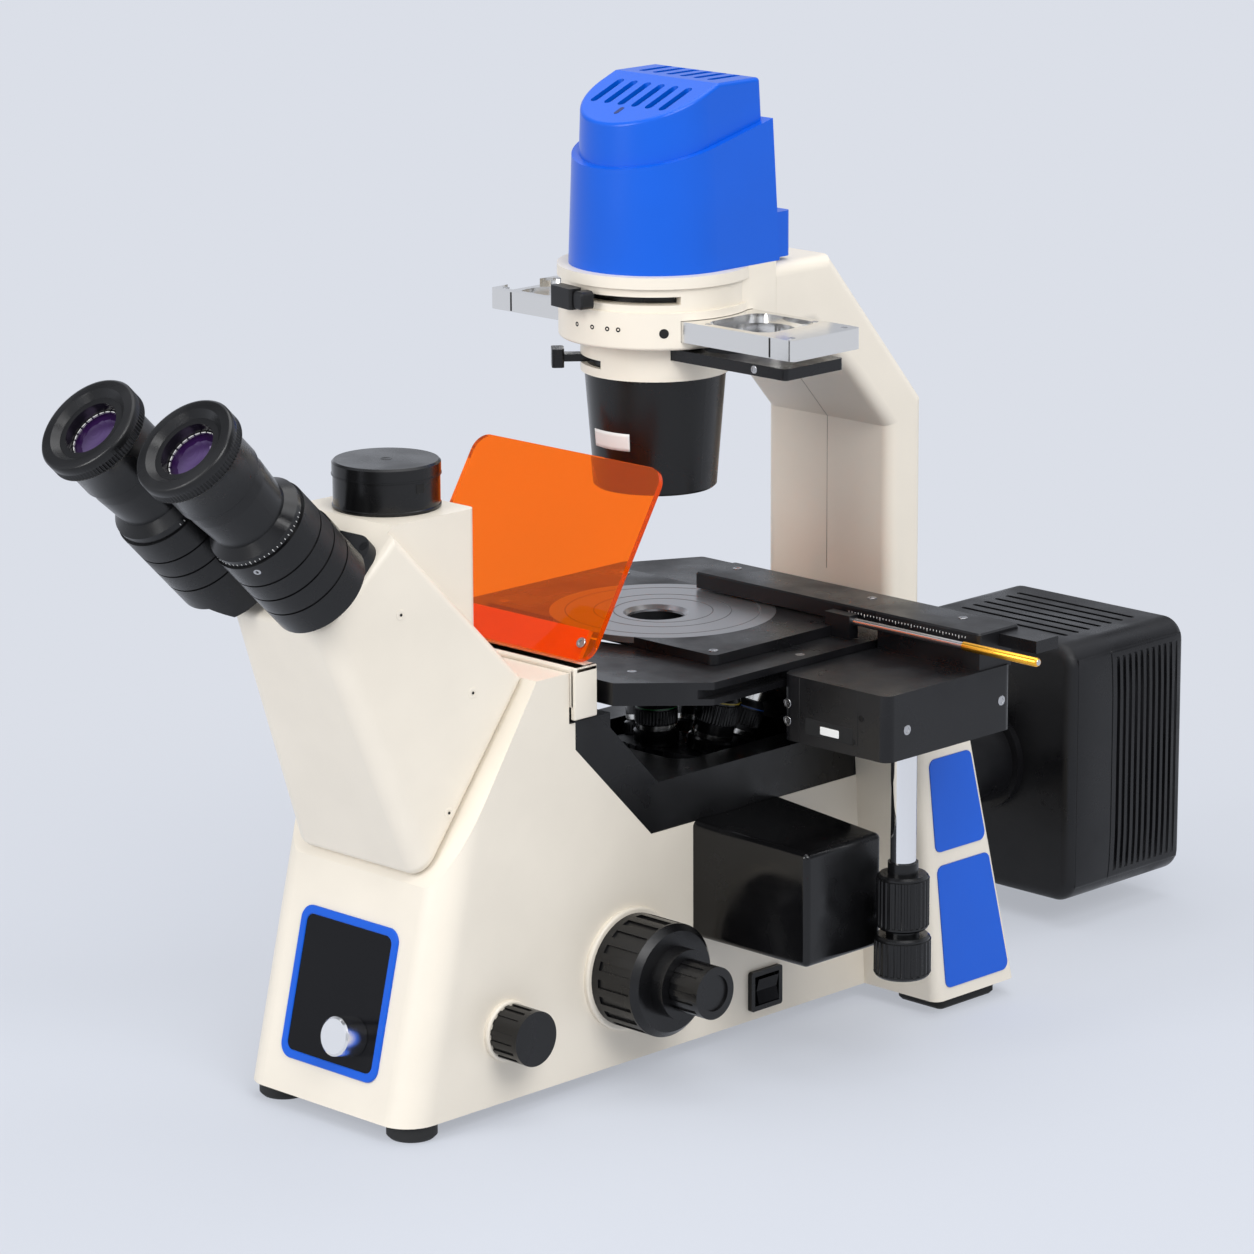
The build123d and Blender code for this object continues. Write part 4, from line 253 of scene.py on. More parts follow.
    def tool_marks(self) -> bpy.types.NodeTree:
        """Straight machining marks: noise stretched along one direction."""
        graph, given, out = self._open(
            "tool_marks",
            {"Position": (self.VECTOR, None), "Stretch": (self.VECTOR, (1000, 1000, 30)),
             "Roughness": (self.NUMBER, 0.3), "Depth": (self.NUMBER, 0.1)},
            {"Height": self.NUMBER, "Roughness": self.NUMBER})
        stretched = graph.vector("MULTIPLY", given["Position"], given["Stretch"])
        marks = graph.add("TexNoise", {"Vector": stretched, "Scale": 1.0, "Detail": 3.0}).outputs["Fac"]
        centred = graph.maths("SUBTRACT", marks, 0.5)
        rough = graph.maths("MULTIPLY_ADD", centred, given["Depth"], given["Roughness"])
        graph.feed(out, {"Height": marks, "Roughness": rough})
        return graph.tree


EFFECTS = EffectShop()


# ---- Finishes --------------------------------------------------------------------------------------------


@dataclass(frozen=True)
class Finish:
    """A painted, moulded or anodised surface with fine grain, mottling and a little dust."""

    name: str
    colour: Triple
    roughness: float = 0.45
    metallic: float = 0.0
    specular: float = 0.5
    coat: float = 0.0
    coat_roughness: float = 0.1
    grain_scale: float = 1400.0
    grain_depth: float = 0.05
    mottle: float = 0.04
    dust: float = 0.03

    def build(self) -> bpy.types.Material:
        """Makes the material, or returns it if it exists."""
        label = f"{self.name}_finish"
        if label in bpy.data.materials:
            return bpy.data.materials[label]
        material = bpy.data.materials.new(label)
        material.use_nodes = True
        graph = Graph(material.node_tree)
        shader = graph.tree.nodes["Principled BSDF"]
        graph.feed(shader, {"Metallic": self.metallic, "Specular IOR Level": self.specular,
                            "Coat Weight": self.coat, "Coat Roughness": self.coat_roughness})
        self.dress(graph, shader, graph.add("TexCoord").outputs["Object"])
        return material

    def dress(self, graph: Graph, shader: Node, place: Socket) -> None:
        """Feeds colour, roughness and bump from the grain effect.

        Args:
            graph: The material's graph.
            shader: Its Principled BSDF.
            place: The Object coordinates.
        """
        grain = graph.add("Group", {
            "Position": place, "Colour": (*self.colour, 1.0), "Roughness": self.roughness,
            "Grain Scale": self.grain_scale, "Mottle": self.mottle, "Dust": self.dust},
            node_tree=EFFECTS.group("surface_grain"))
        graph.feed(shader, {"Base Color": grain.outputs["Colour"], "Roughness": grain.outputs["Roughness"]})
        graph.bump(shader, grain.outputs["Height"], self.grain_depth)


@dataclass(frozen=True)
class MachinedFinish(Finish):
    """Bare metal with straight machining marks."""

    lay: Lay = Lay.ALONG_X
    mark_depth: float = 0.01

    def dress(self, graph: Graph, shader: Node, place: Socket) -> None:
        """Feeds roughness and bump from the machining marks; the colour stands on the shader."""
        marks = graph.add("Group", {
            "Position": place, "Stretch": self.lay.value, "Roughness": self.roughness},
            node_tree=EFFECTS.group("tool_marks"))
        graph.feed(shader, {"Base Color": (*self.colour, 1.0), "Roughness": marks.outputs["Roughness"]})
        graph.bump(shader, marks.outputs["Height"], self.mark_depth)


@dataclass(frozen=True)
class TurnedFinish(Finish):
    """Bare metal turned on a lathe, with fine rings about its axis."""

    centre: Triple = (0.0, 0.0, 0.0)
    axis: Triple = (0.0, 0.0, 1.0)

    def dress(self, graph: Graph, shader: Node, place: Socket) -> None:
        """Feeds the bump from the rings; colour and roughness stand on the shader."""
        graph.feed(shader, {"Base Color": (*self.colour, 1.0), "Roughness": self.roughness})
        rings = graph.add("Group", {"Position": place, "Centre": self.centre, "Axis": self.axis},
                          node_tree=EFFECTS.group("lathe_rings"))
        graph.bump(shader, rings.outputs["Height"], self.grain_depth)


@dataclass(frozen=True)
class ClearFinish(Finish):
    """Glass or acrylic: clear, tinted by its colour, with a painted glow where glow is above 0: emission in its
    own colour, though it is no lamp.
    """

    transmission: float = 1.0
    ior: float = 1.49
    # glow: strength of a painted glow, an emission in the pane's own colour that stands in for light
    glow: float = 0.0

    def dress(self, graph: Graph, shader: Node, place: Socket) -> None:
        """Sets the clear shader and its painted glow; a faint ripple keeps the surface from being perfectly
        flat.
        """
        # The emission is painted light: the pane shines in its own colour though it is no lamp.
        graph.feed(shader, {"Base Color": (*self.colour, 1.0), "Roughness": self.roughness,
                            "Transmission Weight": self.transmission, "IOR": self.ior,
                            "Emission Color": (*self.colour, 1.0), "Emission Strength": self.glow})
        ripple = graph.add("TexNoise", {"Vector": place, "Scale": 20.0})
        graph.bump(shader, ripple.outputs["Fac"], self.grain_depth)


CREAM = (0.79, 0.725, 0.62)
BLUE = (0.0, 0.095, 0.60)
INK = (0.0045, 0.0045, 0.005)
SOFT_INK = (0.005, 0.005, 0.006)
CREAM_CASTING = Finish("cream_casting", CREAM, 0.36, grain_scale=700, grain_depth=0.03, mottle=0.02,
                       dust=0.04)
CREAM_COVER = replace(CREAM_CASTING, name="cream_cover", roughness=0.34, grain_scale=900, grain_depth=0.02,
                      dust=0.03)
BLACK_CASTING = Finish("black_casting", INK, 0.30, specular=0.38, grain_scale=1500, grain_depth=0.05,
                       mottle=0.2, dust=0.006)
BLACK_SHEET = replace(BLACK_CASTING, name="black_sheet", roughness=0.20, grain_scale=1300, grain_depth=0.015)
BLACK_ANODISED = replace(BLACK_CASTING, name="black_anodised", colour=SOFT_INK, roughness=0.33,
                         grain_scale=3200, grain_depth=0.04, dust=0.008)
BLACK_BARREL = replace(BLACK_CASTING, name="black_barrel", roughness=0.24, grain_scale=2600, grain_depth=0.02,
                       mottle=0.15, dust=0.004)
WRINKLE_BLACK = replace(BLACK_CASTING, name="wrinkle_black", grain_scale=2400, grain_depth=0.08)
GRIP_BLACK = replace(BLACK_CASTING, name="grip_black", roughness=0.26, grain_scale=2600, grain_depth=0.04,
                     dust=0.005)
HOUSING_BLACK = replace(BLACK_CASTING, name="housing_black", colour=SOFT_INK, roughness=0.36, specular=0.35,
                        grain_scale=1900, grain_depth=0.08)
PANEL_BLACK = Finish("panel_black", (0.003, 0.003, 0.004), 0.14, specular=0.16, grain_depth=0.002, mottle=0.1,
                     dust=0.003)
BLUE_MOULDING = Finish("blue_moulding", BLUE, 0.30, specular=0.35, grain_scale=1500, grain_depth=0.012,
                       mottle=0.02, dust=0.01)
# Painted shade: a darker blue that stands for the shade in a dimple of the blue moulding.
DIMPLE_SHADE_BLUE = Finish("dimple_shade_blue", (0.0, 0.015, 0.12), 0.4, grain_depth=0.005, dust=0.0)
RUBBER = Finish("foot_rubber", (0.008, 0.008, 0.008), 0.7, grain_scale=1100, grain_depth=0.12, dust=0.01)
CERAMIC = Finish("ceramic", (0.78, 0.77, 0.72), 0.55)
MARKING = Finish("white_marking", (0.78, 0.78, 0.76), 0.5, grain_depth=0.005, dust=0.0)
GREY_MARKING = Finish("grey_marking", (0.12, 0.12, 0.125), 0.45, grain_depth=0.005, dust=0.0)
SCREW_BLACK = Finish("screw_black", (0.012, 0.012, 0.013), 0.28, metallic=0.7, grain_depth=0.01)
# Painted shade: flat near-black for holes, slots and recesses; the same finish also draws the dark lines of
# joints.
RECESS_SHADE_AND_JOINT = Finish("recess_shade_and_joint", (0.002, 0.002, 0.002), 0.8, grain_depth=0.01, dust=0.0)
SEAM_SHADE = Finish("seam_shade", (0.30, 0.27, 0.23), 0.7, grain_depth=0.01, dust=0.0)
MILLED = MachinedFinish("milled_aluminium", (0.80, 0.79, 0.77), 0.14, 1.0, mark_depth=0.008)
INSERT_GREY = MachinedFinish("insert_grey", (0.42, 0.42, 0.43), 0.30, 0.9, lay=Lay.MATT, mark_depth=0.004)
CHROME = MachinedFinish("chromed_post", (0.84, 0.84, 0.85), 0.06, 1.0, lay=Lay.ALONG_Z, mark_depth=0.002)
GROUND_STEEL = MachinedFinish("ground_steel", (0.62, 0.62, 0.63), 0.24, 1.0, mark_depth=0.006)
GILT = MachinedFinish("gilt_sleeve", (0.95, 0.47, 0.05), 0.25, 1.0, mark_depth=0.006)
SCREW_STEEL = MachinedFinish("screw_steel", (0.50, 0.50, 0.51), 0.25, 1.0, lay=Lay.MATT, mark_depth=0.004)
NICKEL = MachinedFinish("nickel_barrel", (0.74, 0.73, 0.70), 0.18, 1.0, lay=Lay.MATT, mark_depth=0.004)
BRIGHT_ALUMINIUM = TurnedFinish("turned_aluminium", (0.86, 0.86, 0.86), 0.20, 1.0, grain_depth=0.004)
# Painted glow: the orange shield emits a little light in its own colour, which brightens it beyond what the
# lamps give.
ORANGE_ACRYLIC = ClearFinish("orange_acrylic", (1.0, 0.18, 0.0), 0.02, grain_depth=0.0, transmission=0.92,
                             ior=1.25, glow=0.07)
OPTICAL_GLASS = ClearFinish("optical_glass", (0.95, 0.96, 0.97), 0.01, grain_depth=0.0, ior=1.52)
COATED_LENS = Finish("coated_lens", (0.045, 0.008, 0.10), 0.05, metallic=0.6, coat=1.0, coat_roughness=0.02,
                     grain_depth=0.0, dust=0.0)


@dataclass(frozen=True)
class Wear:
    """What a new piece wears: its finish, the body it rides on and the slot behind its finish."""

    finish: Finish
    body: str
    slot: str


def steel(body: str) -> Wear:
    """A bright screw on a body."""
    return Wear(SCREW_STEEL, body, "bright_steel")


def marking(body: str) -> Wear:
    """A white marking on a body."""
    return Wear(MARKING, body, "black_anodised")


def recess(body: str) -> Wear:
    """A near-black piece on a body: painted shade in a hole, slot or recess, and also the dark line of a joint.
    """
    return Wear(RECESS_SHADE_AND_JOINT, body, "black_anodised")


# ---- Mesh surfaces ---------------------------------------------------------------------------------------


def mesh_piece(name: str, corners: np.ndarray, quads: np.ndarray) -> Piece:
    """Makes a piece from corners and four-sided faces.

    Corners that coincide, as at a pole, are merged, and the normals are set to point outwards.

    Args:
        name: The piece's name.
        corners: The corners, in metres, one row each.
        quads: The numbers of each face's four corners, one row each.

    Returns:
        The new object, linked to the scene.
    """
    mesh = bpy.data.meshes.new(name)
    mesh.vertices.add(len(corners))
    mesh.vertices.foreach_set("co", corners.astype(np.float32).ravel())
    mesh.loops.add(quads.size)
    mesh.loops.foreach_set("vertex_index", quads.astype(np.int32).ravel())
    mesh.polygons.add(len(quads))
    mesh.polygons.foreach_set("loop_start", np.arange(0, quads.size, 4, dtype=np.int32))
    mesh.update(calc_edges=True)
    shape = bmesh.new()
    shape.from_mesh(mesh)
    bmesh.ops.remove_doubles(shape, verts=shape.verts, dist=1e-7)
    bmesh.ops.dissolve_degenerate(shape, edges=shape.edges, dist=1e-8)
    bmesh.ops.recalc_face_normals(shape, faces=shape.faces)
    shape.to_mesh(mesh)
    shape.free()
    piece = bpy.data.objects.new(name, mesh)
    bpy.context.scene.collection.objects.link(piece)
    return piece


def surface(name: str, points: np.ndarray, wrap: bool = True) -> Piece:
    """Puts a grid of points into a mesh.

    Corner (i, j) joins (i + 1, j), (i + 1, j + 1) and (i, j + 1) into one four-sided face. With wrap, the
    last column joins the first.

    Args:
        name: The piece's name.
        points: Rows by columns by 3 points, in metres.
        wrap: Whether the columns close on themselves.

    Returns:
        The new object, linked to the scene.
    """
    rows, columns = points.shape[:2]
    row, column = np.meshgrid(np.arange(rows - 1), np.arange(columns if wrap else columns - 1), indexing="ij")
    beside = (column + 1) % columns
    quads = np.stack([row * columns + column, row * columns + beside,
                      (row + 1) * columns + beside, (row + 1) * columns + column], -1).reshape(-1, 4)
    return mesh_piece(name, points.reshape(-1, 3), quads)


def soften(piece: Piece, angle: float = 35.0) -> Piece:
    """Shades a piece smooth, with its sharp edges kept sharp.

    Args:
        piece: The piece.
        angle: Angle from which an edge stays sharp.

    Returns:
        The same piece.
    """
    mesh = piece.data
    mesh.polygons.foreach_set("use_smooth", np.ones(len(mesh.polygons), bool))
    mesh.set_sharp_from_angle(angle=np.radians(angle))
    return piece


def thicken(piece: Piece, thickness: float, offset: float) -> Piece:
    """Gives an open surface a thickness.

    Args:
        piece: The piece.
        thickness: Its thickness in millimetres.
        offset: 1 for a thickness on the outer side of its faces, -1 for the inner side.

    Returns:
        The same piece.
    """
    thick = piece.modifiers.new("thickness", "SOLIDIFY")
    thick.thickness = thickness * MILLIMETRE
    thick.offset = offset
    return piece


def unit(axis: Point) -> np.ndarray:
    """The direction of a vector, with length one."""
    axis = np.asarray(axis, float)
    return axis / np.linalg.norm(axis)


def perpendicular(axis: np.ndarray) -> tuple[np.ndarray, np.ndarray]:
    """Two unit directions square to a unit axis and to each other."""
    first = unit(np.cross(UP if abs(axis[2]) < 0.9 else RIGHT, axis))
    return first, np.cross(axis, first)


def round_angles(steps: int) -> np.ndarray:
    """Even angles round a circle, in radians."""
    return np.linspace(0, FULL_TURN, steps, endpoint=False)


@dataclass
class Bench:
    """Where the drawing's origin stands in the frame, and the shapes that the new pieces are made of.

    Every shape takes the piece's name first, and last what it wears. Each of them returns the piece.
    """

    origin: np.ndarray
    pieces: int = 0

    SCREW_COLUMNS: ClassVar[int] = 48
    PLATE_COLUMNS: ClassVar[int] = 48
    GROOVE_COLUMNS: ClassVar[int] = 12

    @classmethod
    def from_frame(cls) -> "Bench":
        """Finds the optical axis at the middle of the condenser cone."""
        low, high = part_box("condenser_cone")
        return cls(np.array([(low.x + high.x) / 2, (low.y + high.y) / 2, 0.0]))

    def at(self, points: np.ndarray) -> np.ndarray:
        """Turns drawing millimetres into frame metres."""
        return self.origin + np.asarray(points, float) * MILLIMETRE

    def fit(self, piece: Piece, wear: Wear) -> Piece:
        """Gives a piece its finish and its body.

        Args:
            piece: The new piece.
            wear: What it wears.

        Returns:
            The same piece.
        """
        piece.data.materials.clear()
        piece.data.materials.append(wear.finish.build())
        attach(piece, wear.body)
        self.pieces += 1
        LOG.info("piece %s on %s", piece.name, wear.body)
        return piece

    def revolved(self, name: str, radii: np.ndarray, heights: np.ndarray, turn: np.ndarray, centre: Point,
                 axis: np.ndarray, wear: Wear, angle: float = 35.0) -> Piece:
        """A surface round an axis, shaded smooth up to an angle.

        Point (s, t) lies at centre + r(s, t) times the direction at angle t + h(s) times the axis.

        Args:
            name: The piece's name.
            radii: Radius of each station, by one column or by every column.
            heights: Height of each station.
            turn: Angle of each column, in radians.
            centre: Foot of the axis.
            axis: Direction of the axis.
            wear: What it wears.
            angle: Angle from which an edge stays sharp.

        Returns:
            The piece.
        """
        axis = unit(axis)
        first, second = perpendicular(axis)
        spoke = np.cos(turn)[:, None] * first + np.sin(turn)[:, None] * second
        points = np.asarray(centre, float) + radii[..., None] * spoke + heights[:, None, None] * axis
        return self.fit(soften(surface(name, self.at(points)), angle), wear)

    def turned(self, name: str, profile: Sequence[Pair], centre: Point, axis: np.ndarray, steps: int,
               wear: Wear) -> Piece:
        """A turned piece; the profile gives the radius and height of each station."""
        stations = np.asarray(profile, float)
        return self.revolved(name, stations[:, :1], stations[:, 1], round_angles(steps), centre, axis, wear)

    def ring(self, name: str, radii: Pair, heights: Pair, centre: Point, axis: np.ndarray, steps: int,
             wear: Wear) -> Piece:
        """A ring of rectangular section, or a disc where its inner radius is 0."""
        (inner, outer), (low, high) = radii, heights
        profile = ((inner, low), (outer, low), (outer, high), (inner, high))
        return self.turned(name, profile + profile[:1] if inner else profile, centre, axis, steps, wear)

    def ribbed(self, name: str, profile: Sequence[Triple], centre: Point, axis: np.ndarray, count: int,
               sharpness: float, wear: Wear) -> Piece:
        """A turned piece with grooves along its axis.

        The radius at angle t is r(s) minus the groove depth d(s) times ((1 - cos(n t)) / 2) to the power
        of the sharpness, with n grooves round it.

        Args:
            name: The piece's name.
            profile: Radius, height and groove depth of each station.
            centre: Foot of the axis.
            axis: Direction of the axis.
            count: Number of grooves.
            sharpness: How narrow the grooves are.
            wear: What it wears.

        Returns:
            The piece.
        """
        turn = round_angles(self.GROOVE_COLUMNS * count)
        stations = np.asarray(profile, float)
        groove = ((1 - np.cos(count * turn)) / 2) ** sharpness
        radii = stations[:, :1] - stations[:, 2:] * groove
        return self.revolved(name, radii, stations[:, 1], turn, centre, axis, wear, 40.0)

    def sleeve(self, name: str, radii: Pair, ends: Pair, rims: Pair, depth: float, centre: Point,
               axis: np.ndarray, count: int, sharpness: float, wear: Wear) -> Piece:
        """A ribbed sleeve with plain rims.

        Args:
            name: The piece's name.
            radii: Its inner and outer radius.
            ends: Height of its lower and upper end.
            rims: How far from each end the outer radius and the grooves begin.
            depth: Depth of the grooves.
            centre: Foot of the axis.
            axis: Direction of the axis.
            count: Number of grooves.
            sharpness: How narrow the grooves are.
            wear: What it wears.

        Returns:
            The piece.
        """
        (inner, outer), (low, high), (plain, cut) = radii, ends, rims
        profile = ((inner, low, 0), (outer, low + plain, 0), (outer, low + cut, depth),
                   (outer, high - cut, depth), (outer, high - plain, 0), (inner, high, 0), (inner, low, 0))
        return self.ribbed(name, profile, centre, axis, count, sharpness, wear)

    def screw(self, name: str, centre: Point, axis: np.ndarray, size: Pair, wear: Wear) -> Piece:
        """A round screw head with a hexagon socket.

        Outside the socket station s has radius r(s). Inside it the radius is that of a hexagon, the
        apothem divided by the cosine of the angle from the nearest flat's middle.

        Args:
            name: The piece's name.
            centre: Middle of the head's seat.
            axis: Direction that the head faces.
            size: Radius and height of the head.
            wear: What it wears.

        Returns:
            The piece.
        """
        radius, height = size
        turn = round_angles(self.SCREW_COLUMNS)
        hexagon = 0.5 * radius / np.cos((turn % (FULL_TURN / 6)) - FULL_TURN / 12)
        head = ((0.0, -0.3), (radius, -0.3), (radius, 0.75 * height), (0.93 * radius, height))
        socket = ((1.06, height), (1.0, 0.95 * height), (1.0, 0.35 * height), (0.0, 0.3 * height))
        radii = np.array([np.full_like(turn, r) for r, _ in head] + [hexagon * k for k, _ in socket])
        heights = np.array([h for _, h in head + socket])
        return self.revolved(name, radii, heights, turn, centre, axis, wear, 25.0)

    def screws(self, name: str, spots: Sequence[Point], axis: np.ndarray, size: Pair, wear: Wear) -> None:
        """Screw heads that face one way, numbered in the order of their spots."""
        for place, spot in enumerate(spots):
            self.screw(f"{name}_{place}", spot, axis, size, wear)

    def plate(self, name: str, centre: Point, across: np.ndarray, along: np.ndarray, size: Triple,
              corner: float, bevel: float, wear: Wear) -> Piece:
        """A flat plate with round corners and a small bevel.

        The outline at angle t is the corner arc's centre plus the corner radius in direction t. Each
        station moves the outline inwards and upwards, and the first and last close on the middle.

        Args:
            name: The piece's name.
            centre: Middle of the plate's seat.
            across: Direction of its width.
            along: Direction of its length.
            size: Width, length and thickness.
            corner: Radius of its corners.
            bevel: Width of the bevel at the top edge.
            wear: What it wears.

        Returns:
            The piece.
        """
        across, along = unit(across), unit(along)
        width, length, thickness = size
        turn = round_angles(self.PLATE_COLUMNS) + FULL_TURN / (2 * self.PLATE_COLUMNS)
        arc = np.stack([np.cos(turn), np.sin(turn)], -1)
        corners = np.sign(arc) * (width / 2 - corner, length / 2 - corner)
        stations = ((0.0, 0.0, 0.0), (1.0, corner, 0.0), (1.0, corner, thickness - bevel),
                    (1.0, corner - bevel, thickness), (0.0, 0.0, thickness))
        flat = np.array([keep * corners + radius * arc for keep, radius, _ in stations])
        lift = np.array([height for _, _, height in stations])
        points = (np.asarray(centre, float) + flat[..., :1] * across + flat[..., 1:] * along
                  + lift[:, None, None] * np.cross(across, along))
        return self.fit(soften(surface(name, self.at(points)), 30.0), wear)

    def bars(self, name: str, centres: np.ndarray, halves: np.ndarray, wear: Wear,
             axes: np.ndarray = np.eye(3)) -> Piece:
        """Many small straight bars in one piece.

        Corner k of a bar is its centre plus or minus each half size along each axis.

        Args:
            name: The piece's name.
            centres: Bar middles, one row each.
            halves: Half sizes along the three axes, for all the bars or one row each.
            wear: What it wears.
            axes: Three unit directions, for all the bars or one 3 by 3 block each.

        Returns:
            The piece.
        """
        count = len(centres)
        signs = np.array([[-1, -1, -1], [1, -1, -1], [1, 1, -1], [-1, 1, -1],
                          [-1, -1, 1], [1, -1, 1], [1, 1, 1], [-1, 1, 1]], float)
        offsets = np.einsum("ck,nk,nkd->ncd", signs, np.broadcast_to(halves, (count, 3)),
                            np.broadcast_to(axes, (count, 3, 3)))
        corners = (np.asarray(centres, float)[:, None, :] + offsets).reshape(-1, 3)
        box = np.array([[0, 3, 2, 1], [4, 5, 6, 7], [0, 1, 5, 4], [1, 2, 6, 5], [2, 3, 7, 6], [3, 0, 4, 7]])
        quads = (np.arange(count)[:, None, None] * len(signs) + box).reshape(-1, 4)
        return self.fit(mesh_piece(name, self.at(corners), quads), wear)


def paint(nodes: Nodes, finish: Finish, *names: str) -> None:
    """Puts a finish on CAD nodes, through their objects' own material slots.

    Args:
        nodes: The CAD nodes by name.
        finish: The finish.
        names: The nodes to paint.
    """
    for name in names:
        node = nodes[name]
        if not node.data.materials:
            node.data.materials.append(finish.build())
        for place in node.material_slots:
            place.material = finish.build()


# ---- Sub-assemblies --------------------------------------------------------------------------------------


Coats = dict[Finish, tuple[str, ...]]


@dataclass
class SubAssembly:
    """Nodes of the CAD model with their finishes, and the small pieces that the bench makes for them."""

    coats: ClassVar[Coats] = {}
    bench: Bench

    def build(self, nodes: Nodes) -> None:
        """Dresses the nodes, given by name, then adds the small pieces.

        Args:
            nodes: The CAD nodes by name.
        """
        for finish, names in self.coats.items():
            paint(nodes, finish, *names)
        self.add_details()

    def add_details(self) -> None:
        """Adds the small pieces."""
        raise NotImplementedError


@dataclass
class Stand(SubAssembly):
    """Base casting, wings, pillar, control panel, side box, switch, knobs and mains inlet."""

    coats: ClassVar[Coats] = {
        CREAM_CASTING: ("base_casting", "shield_bracket"),
        CREAM_COVER: ("knob_escutcheons", "pillar_left_shell", "pillar_right_shell"),
        BLACK_CASTING: ("nosepiece_well", "bottom_plate"),
        BLACK_SHEET: ("side_filter_box",),
        BLUE_MOULDING: ("panel_frame", "wing_inlays"),
        PANEL_BLACK: ("control_panel", "rocker"),
        GRIP_BLACK: ("coarse_knobs", "fine_knobs", "light_path_knob", "rocker_bezel", "mains_inlet"),
        RUBBER: ("feet",),
        GROUND_STEEL: ("focus_guide",)}
    panel_lean: float = 13.7
    panel_foot: Triple = (14.0, -224.0, 8.0)
    knob_up: float = 36.0
    pin_centres: tuple[Triple, ...] = ((-34.0, 142.0, 31.5), (-40.0, 142.0, 28.5), (-28.0, 142.0, 28.5))
    pin_half: Triple = (0.9, 4.0, 1.9)

    def build(self, nodes: Nodes) -> None:
        """Dresses the stand; the brightness knob's rings lie about the knob's own axis."""
        super().build(nodes)
        lean = np.radians(self.panel_lean)
        up = np.array([0.0, np.sin(lean), np.cos(lean)])
        foot = np.array(self.panel_foot) + up * self.knob_up
        rings = replace(BRIGHT_ALUMINIUM, centre=tuple(self.bench.at(foot)),
                        axis=(0.0, -np.cos(lean), np.sin(lean)))
        paint(nodes, rings, "brightness_knob")

    def add_details(self) -> None:
        """Adds the three pins in the mains inlet."""
        self.bench.bars("inlet_pins", self.pin_centres, self.pin_half, Wear(NICKEL, "stand", "bright_steel"))


@dataclass
class Head(SubAssembly):
    """Observation head with its camera port."""

    coats: ClassVar[Coats] = {
        CREAM_COVER: ("head_left_shell", "head_right_shell"),
        BLACK_BARREL: ("camera_port_tube", "port_cap"),
        OPTICAL_GLASS: ("relay_optics",)}
    flare: float = 8.5
    lean_in: float = 1.07
    screw_spots: tuple[Triple, ...] = ((39.8, -206.1, 247.1), (46.3, -167.9, 204.6), (45.1, -182.8, 150.2))
    screw_size: Pair = (2.6, 0.22)
    port_y: float = -177.0
    cap_top: float = 309.1
    dimple: tuple[Pair, ...] = ((0.0, 0.02), (2.0, 0.02), (2.2, 0.12), (2.6, 0.12), (2.7, -0.2), (0.0, -0.2))
    bead: tuple[Pair, Sequence[float]] = ((24.6, 25.3), (287.1, 287.4, 288.5, 289.0))
    lip: tuple[Pair, Sequence[float]] = ((25.0, 25.45), (302.2, 302.4, 302.9, 303.1))
    keyhole_out: Triple = (0.997, -0.08, 0.0)
    keyhole_radius: float = 24.75
    keyhole_height: float = 299.0

    def cheek_normal(self, side: Side) -> np.ndarray:
        """Outward direction of the head's side face."""
        flare, lean = np.radians(self.flare), np.radians(self.lean_in)
        return unit((side.value * np.cos(flare), -np.sin(flare), np.sin(lean)))

    def cover_screws(self) -> None:
        """The cream cover screws of both cheeks, each with a near-black disc in its middle that paints the
        shade of its hole.
        """
        for side in Side:
            normal = self.cheek_normal(side)
            for place, (x, y, z) in enumerate(self.screw_spots):
                centre = np.array([side.value * x, y, z]) - 0.05 * normal
                word = f"{side.word}_{place}"
                self.bench.screw(f"head_screw_{word}", centre, normal, self.screw_size,
                                 Wear(CREAM_COVER, "stand", "cream_moulding"))
                # Painted shade: a near-black disc in the screw's socket.
                self.bench.ring(f"head_screw_hole_{word}", (0.0, 0.7), (0.2, 0.26), centre, normal, 16,
                                Wear(RECESS_SHADE_AND_JOINT, "stand", "black_plastic"))

    def port_details(self) -> None:
        """The cap's dimple and lip, the bead at the port's foot and the square keyhole beside it, a near-black
        plate of painted shade.
        """
        self.bench.turned("cap_dimple", self.dimple, (0, self.port_y, self.cap_top), UP, 32,
                          Wear(GRIP_BLACK, "port_cap", "black_plastic"))
        for name, body, (radii, heights) in (("port_bead", "stand", self.bead),
                                             ("cap_lip", "port_cap", self.lip)):
            (inner, outer), (foot, low, high, top) = radii, heights
            profile = ((inner, foot), (outer, low), (outer, high), (inner, top), (inner, foot))
            self.bench.turned(name, profile, (0, self.port_y, 0), UP, 96,
                              Wear(BLACK_BARREL, body, "black_anodised"))
        out = np.array(self.keyhole_out)
        centre = np.array([0, self.port_y, self.keyhole_height]) + self.keyhole_radius * out
        # Painted shade: a thin near-black plate stands for the keyhole's hollow.
        self.bench.plate("port_keyhole", centre, np.cross(UP, out), UP, (4.6, 4.2, 0.15), 0.5, 0.05,
                         Wear(RECESS_SHADE_AND_JOINT, "stand", "black_plastic"))

    def add_details(self) -> None:
        """Adds the cover screws and the port's small pieces."""
        self.cover_screws()
        self.port_details()


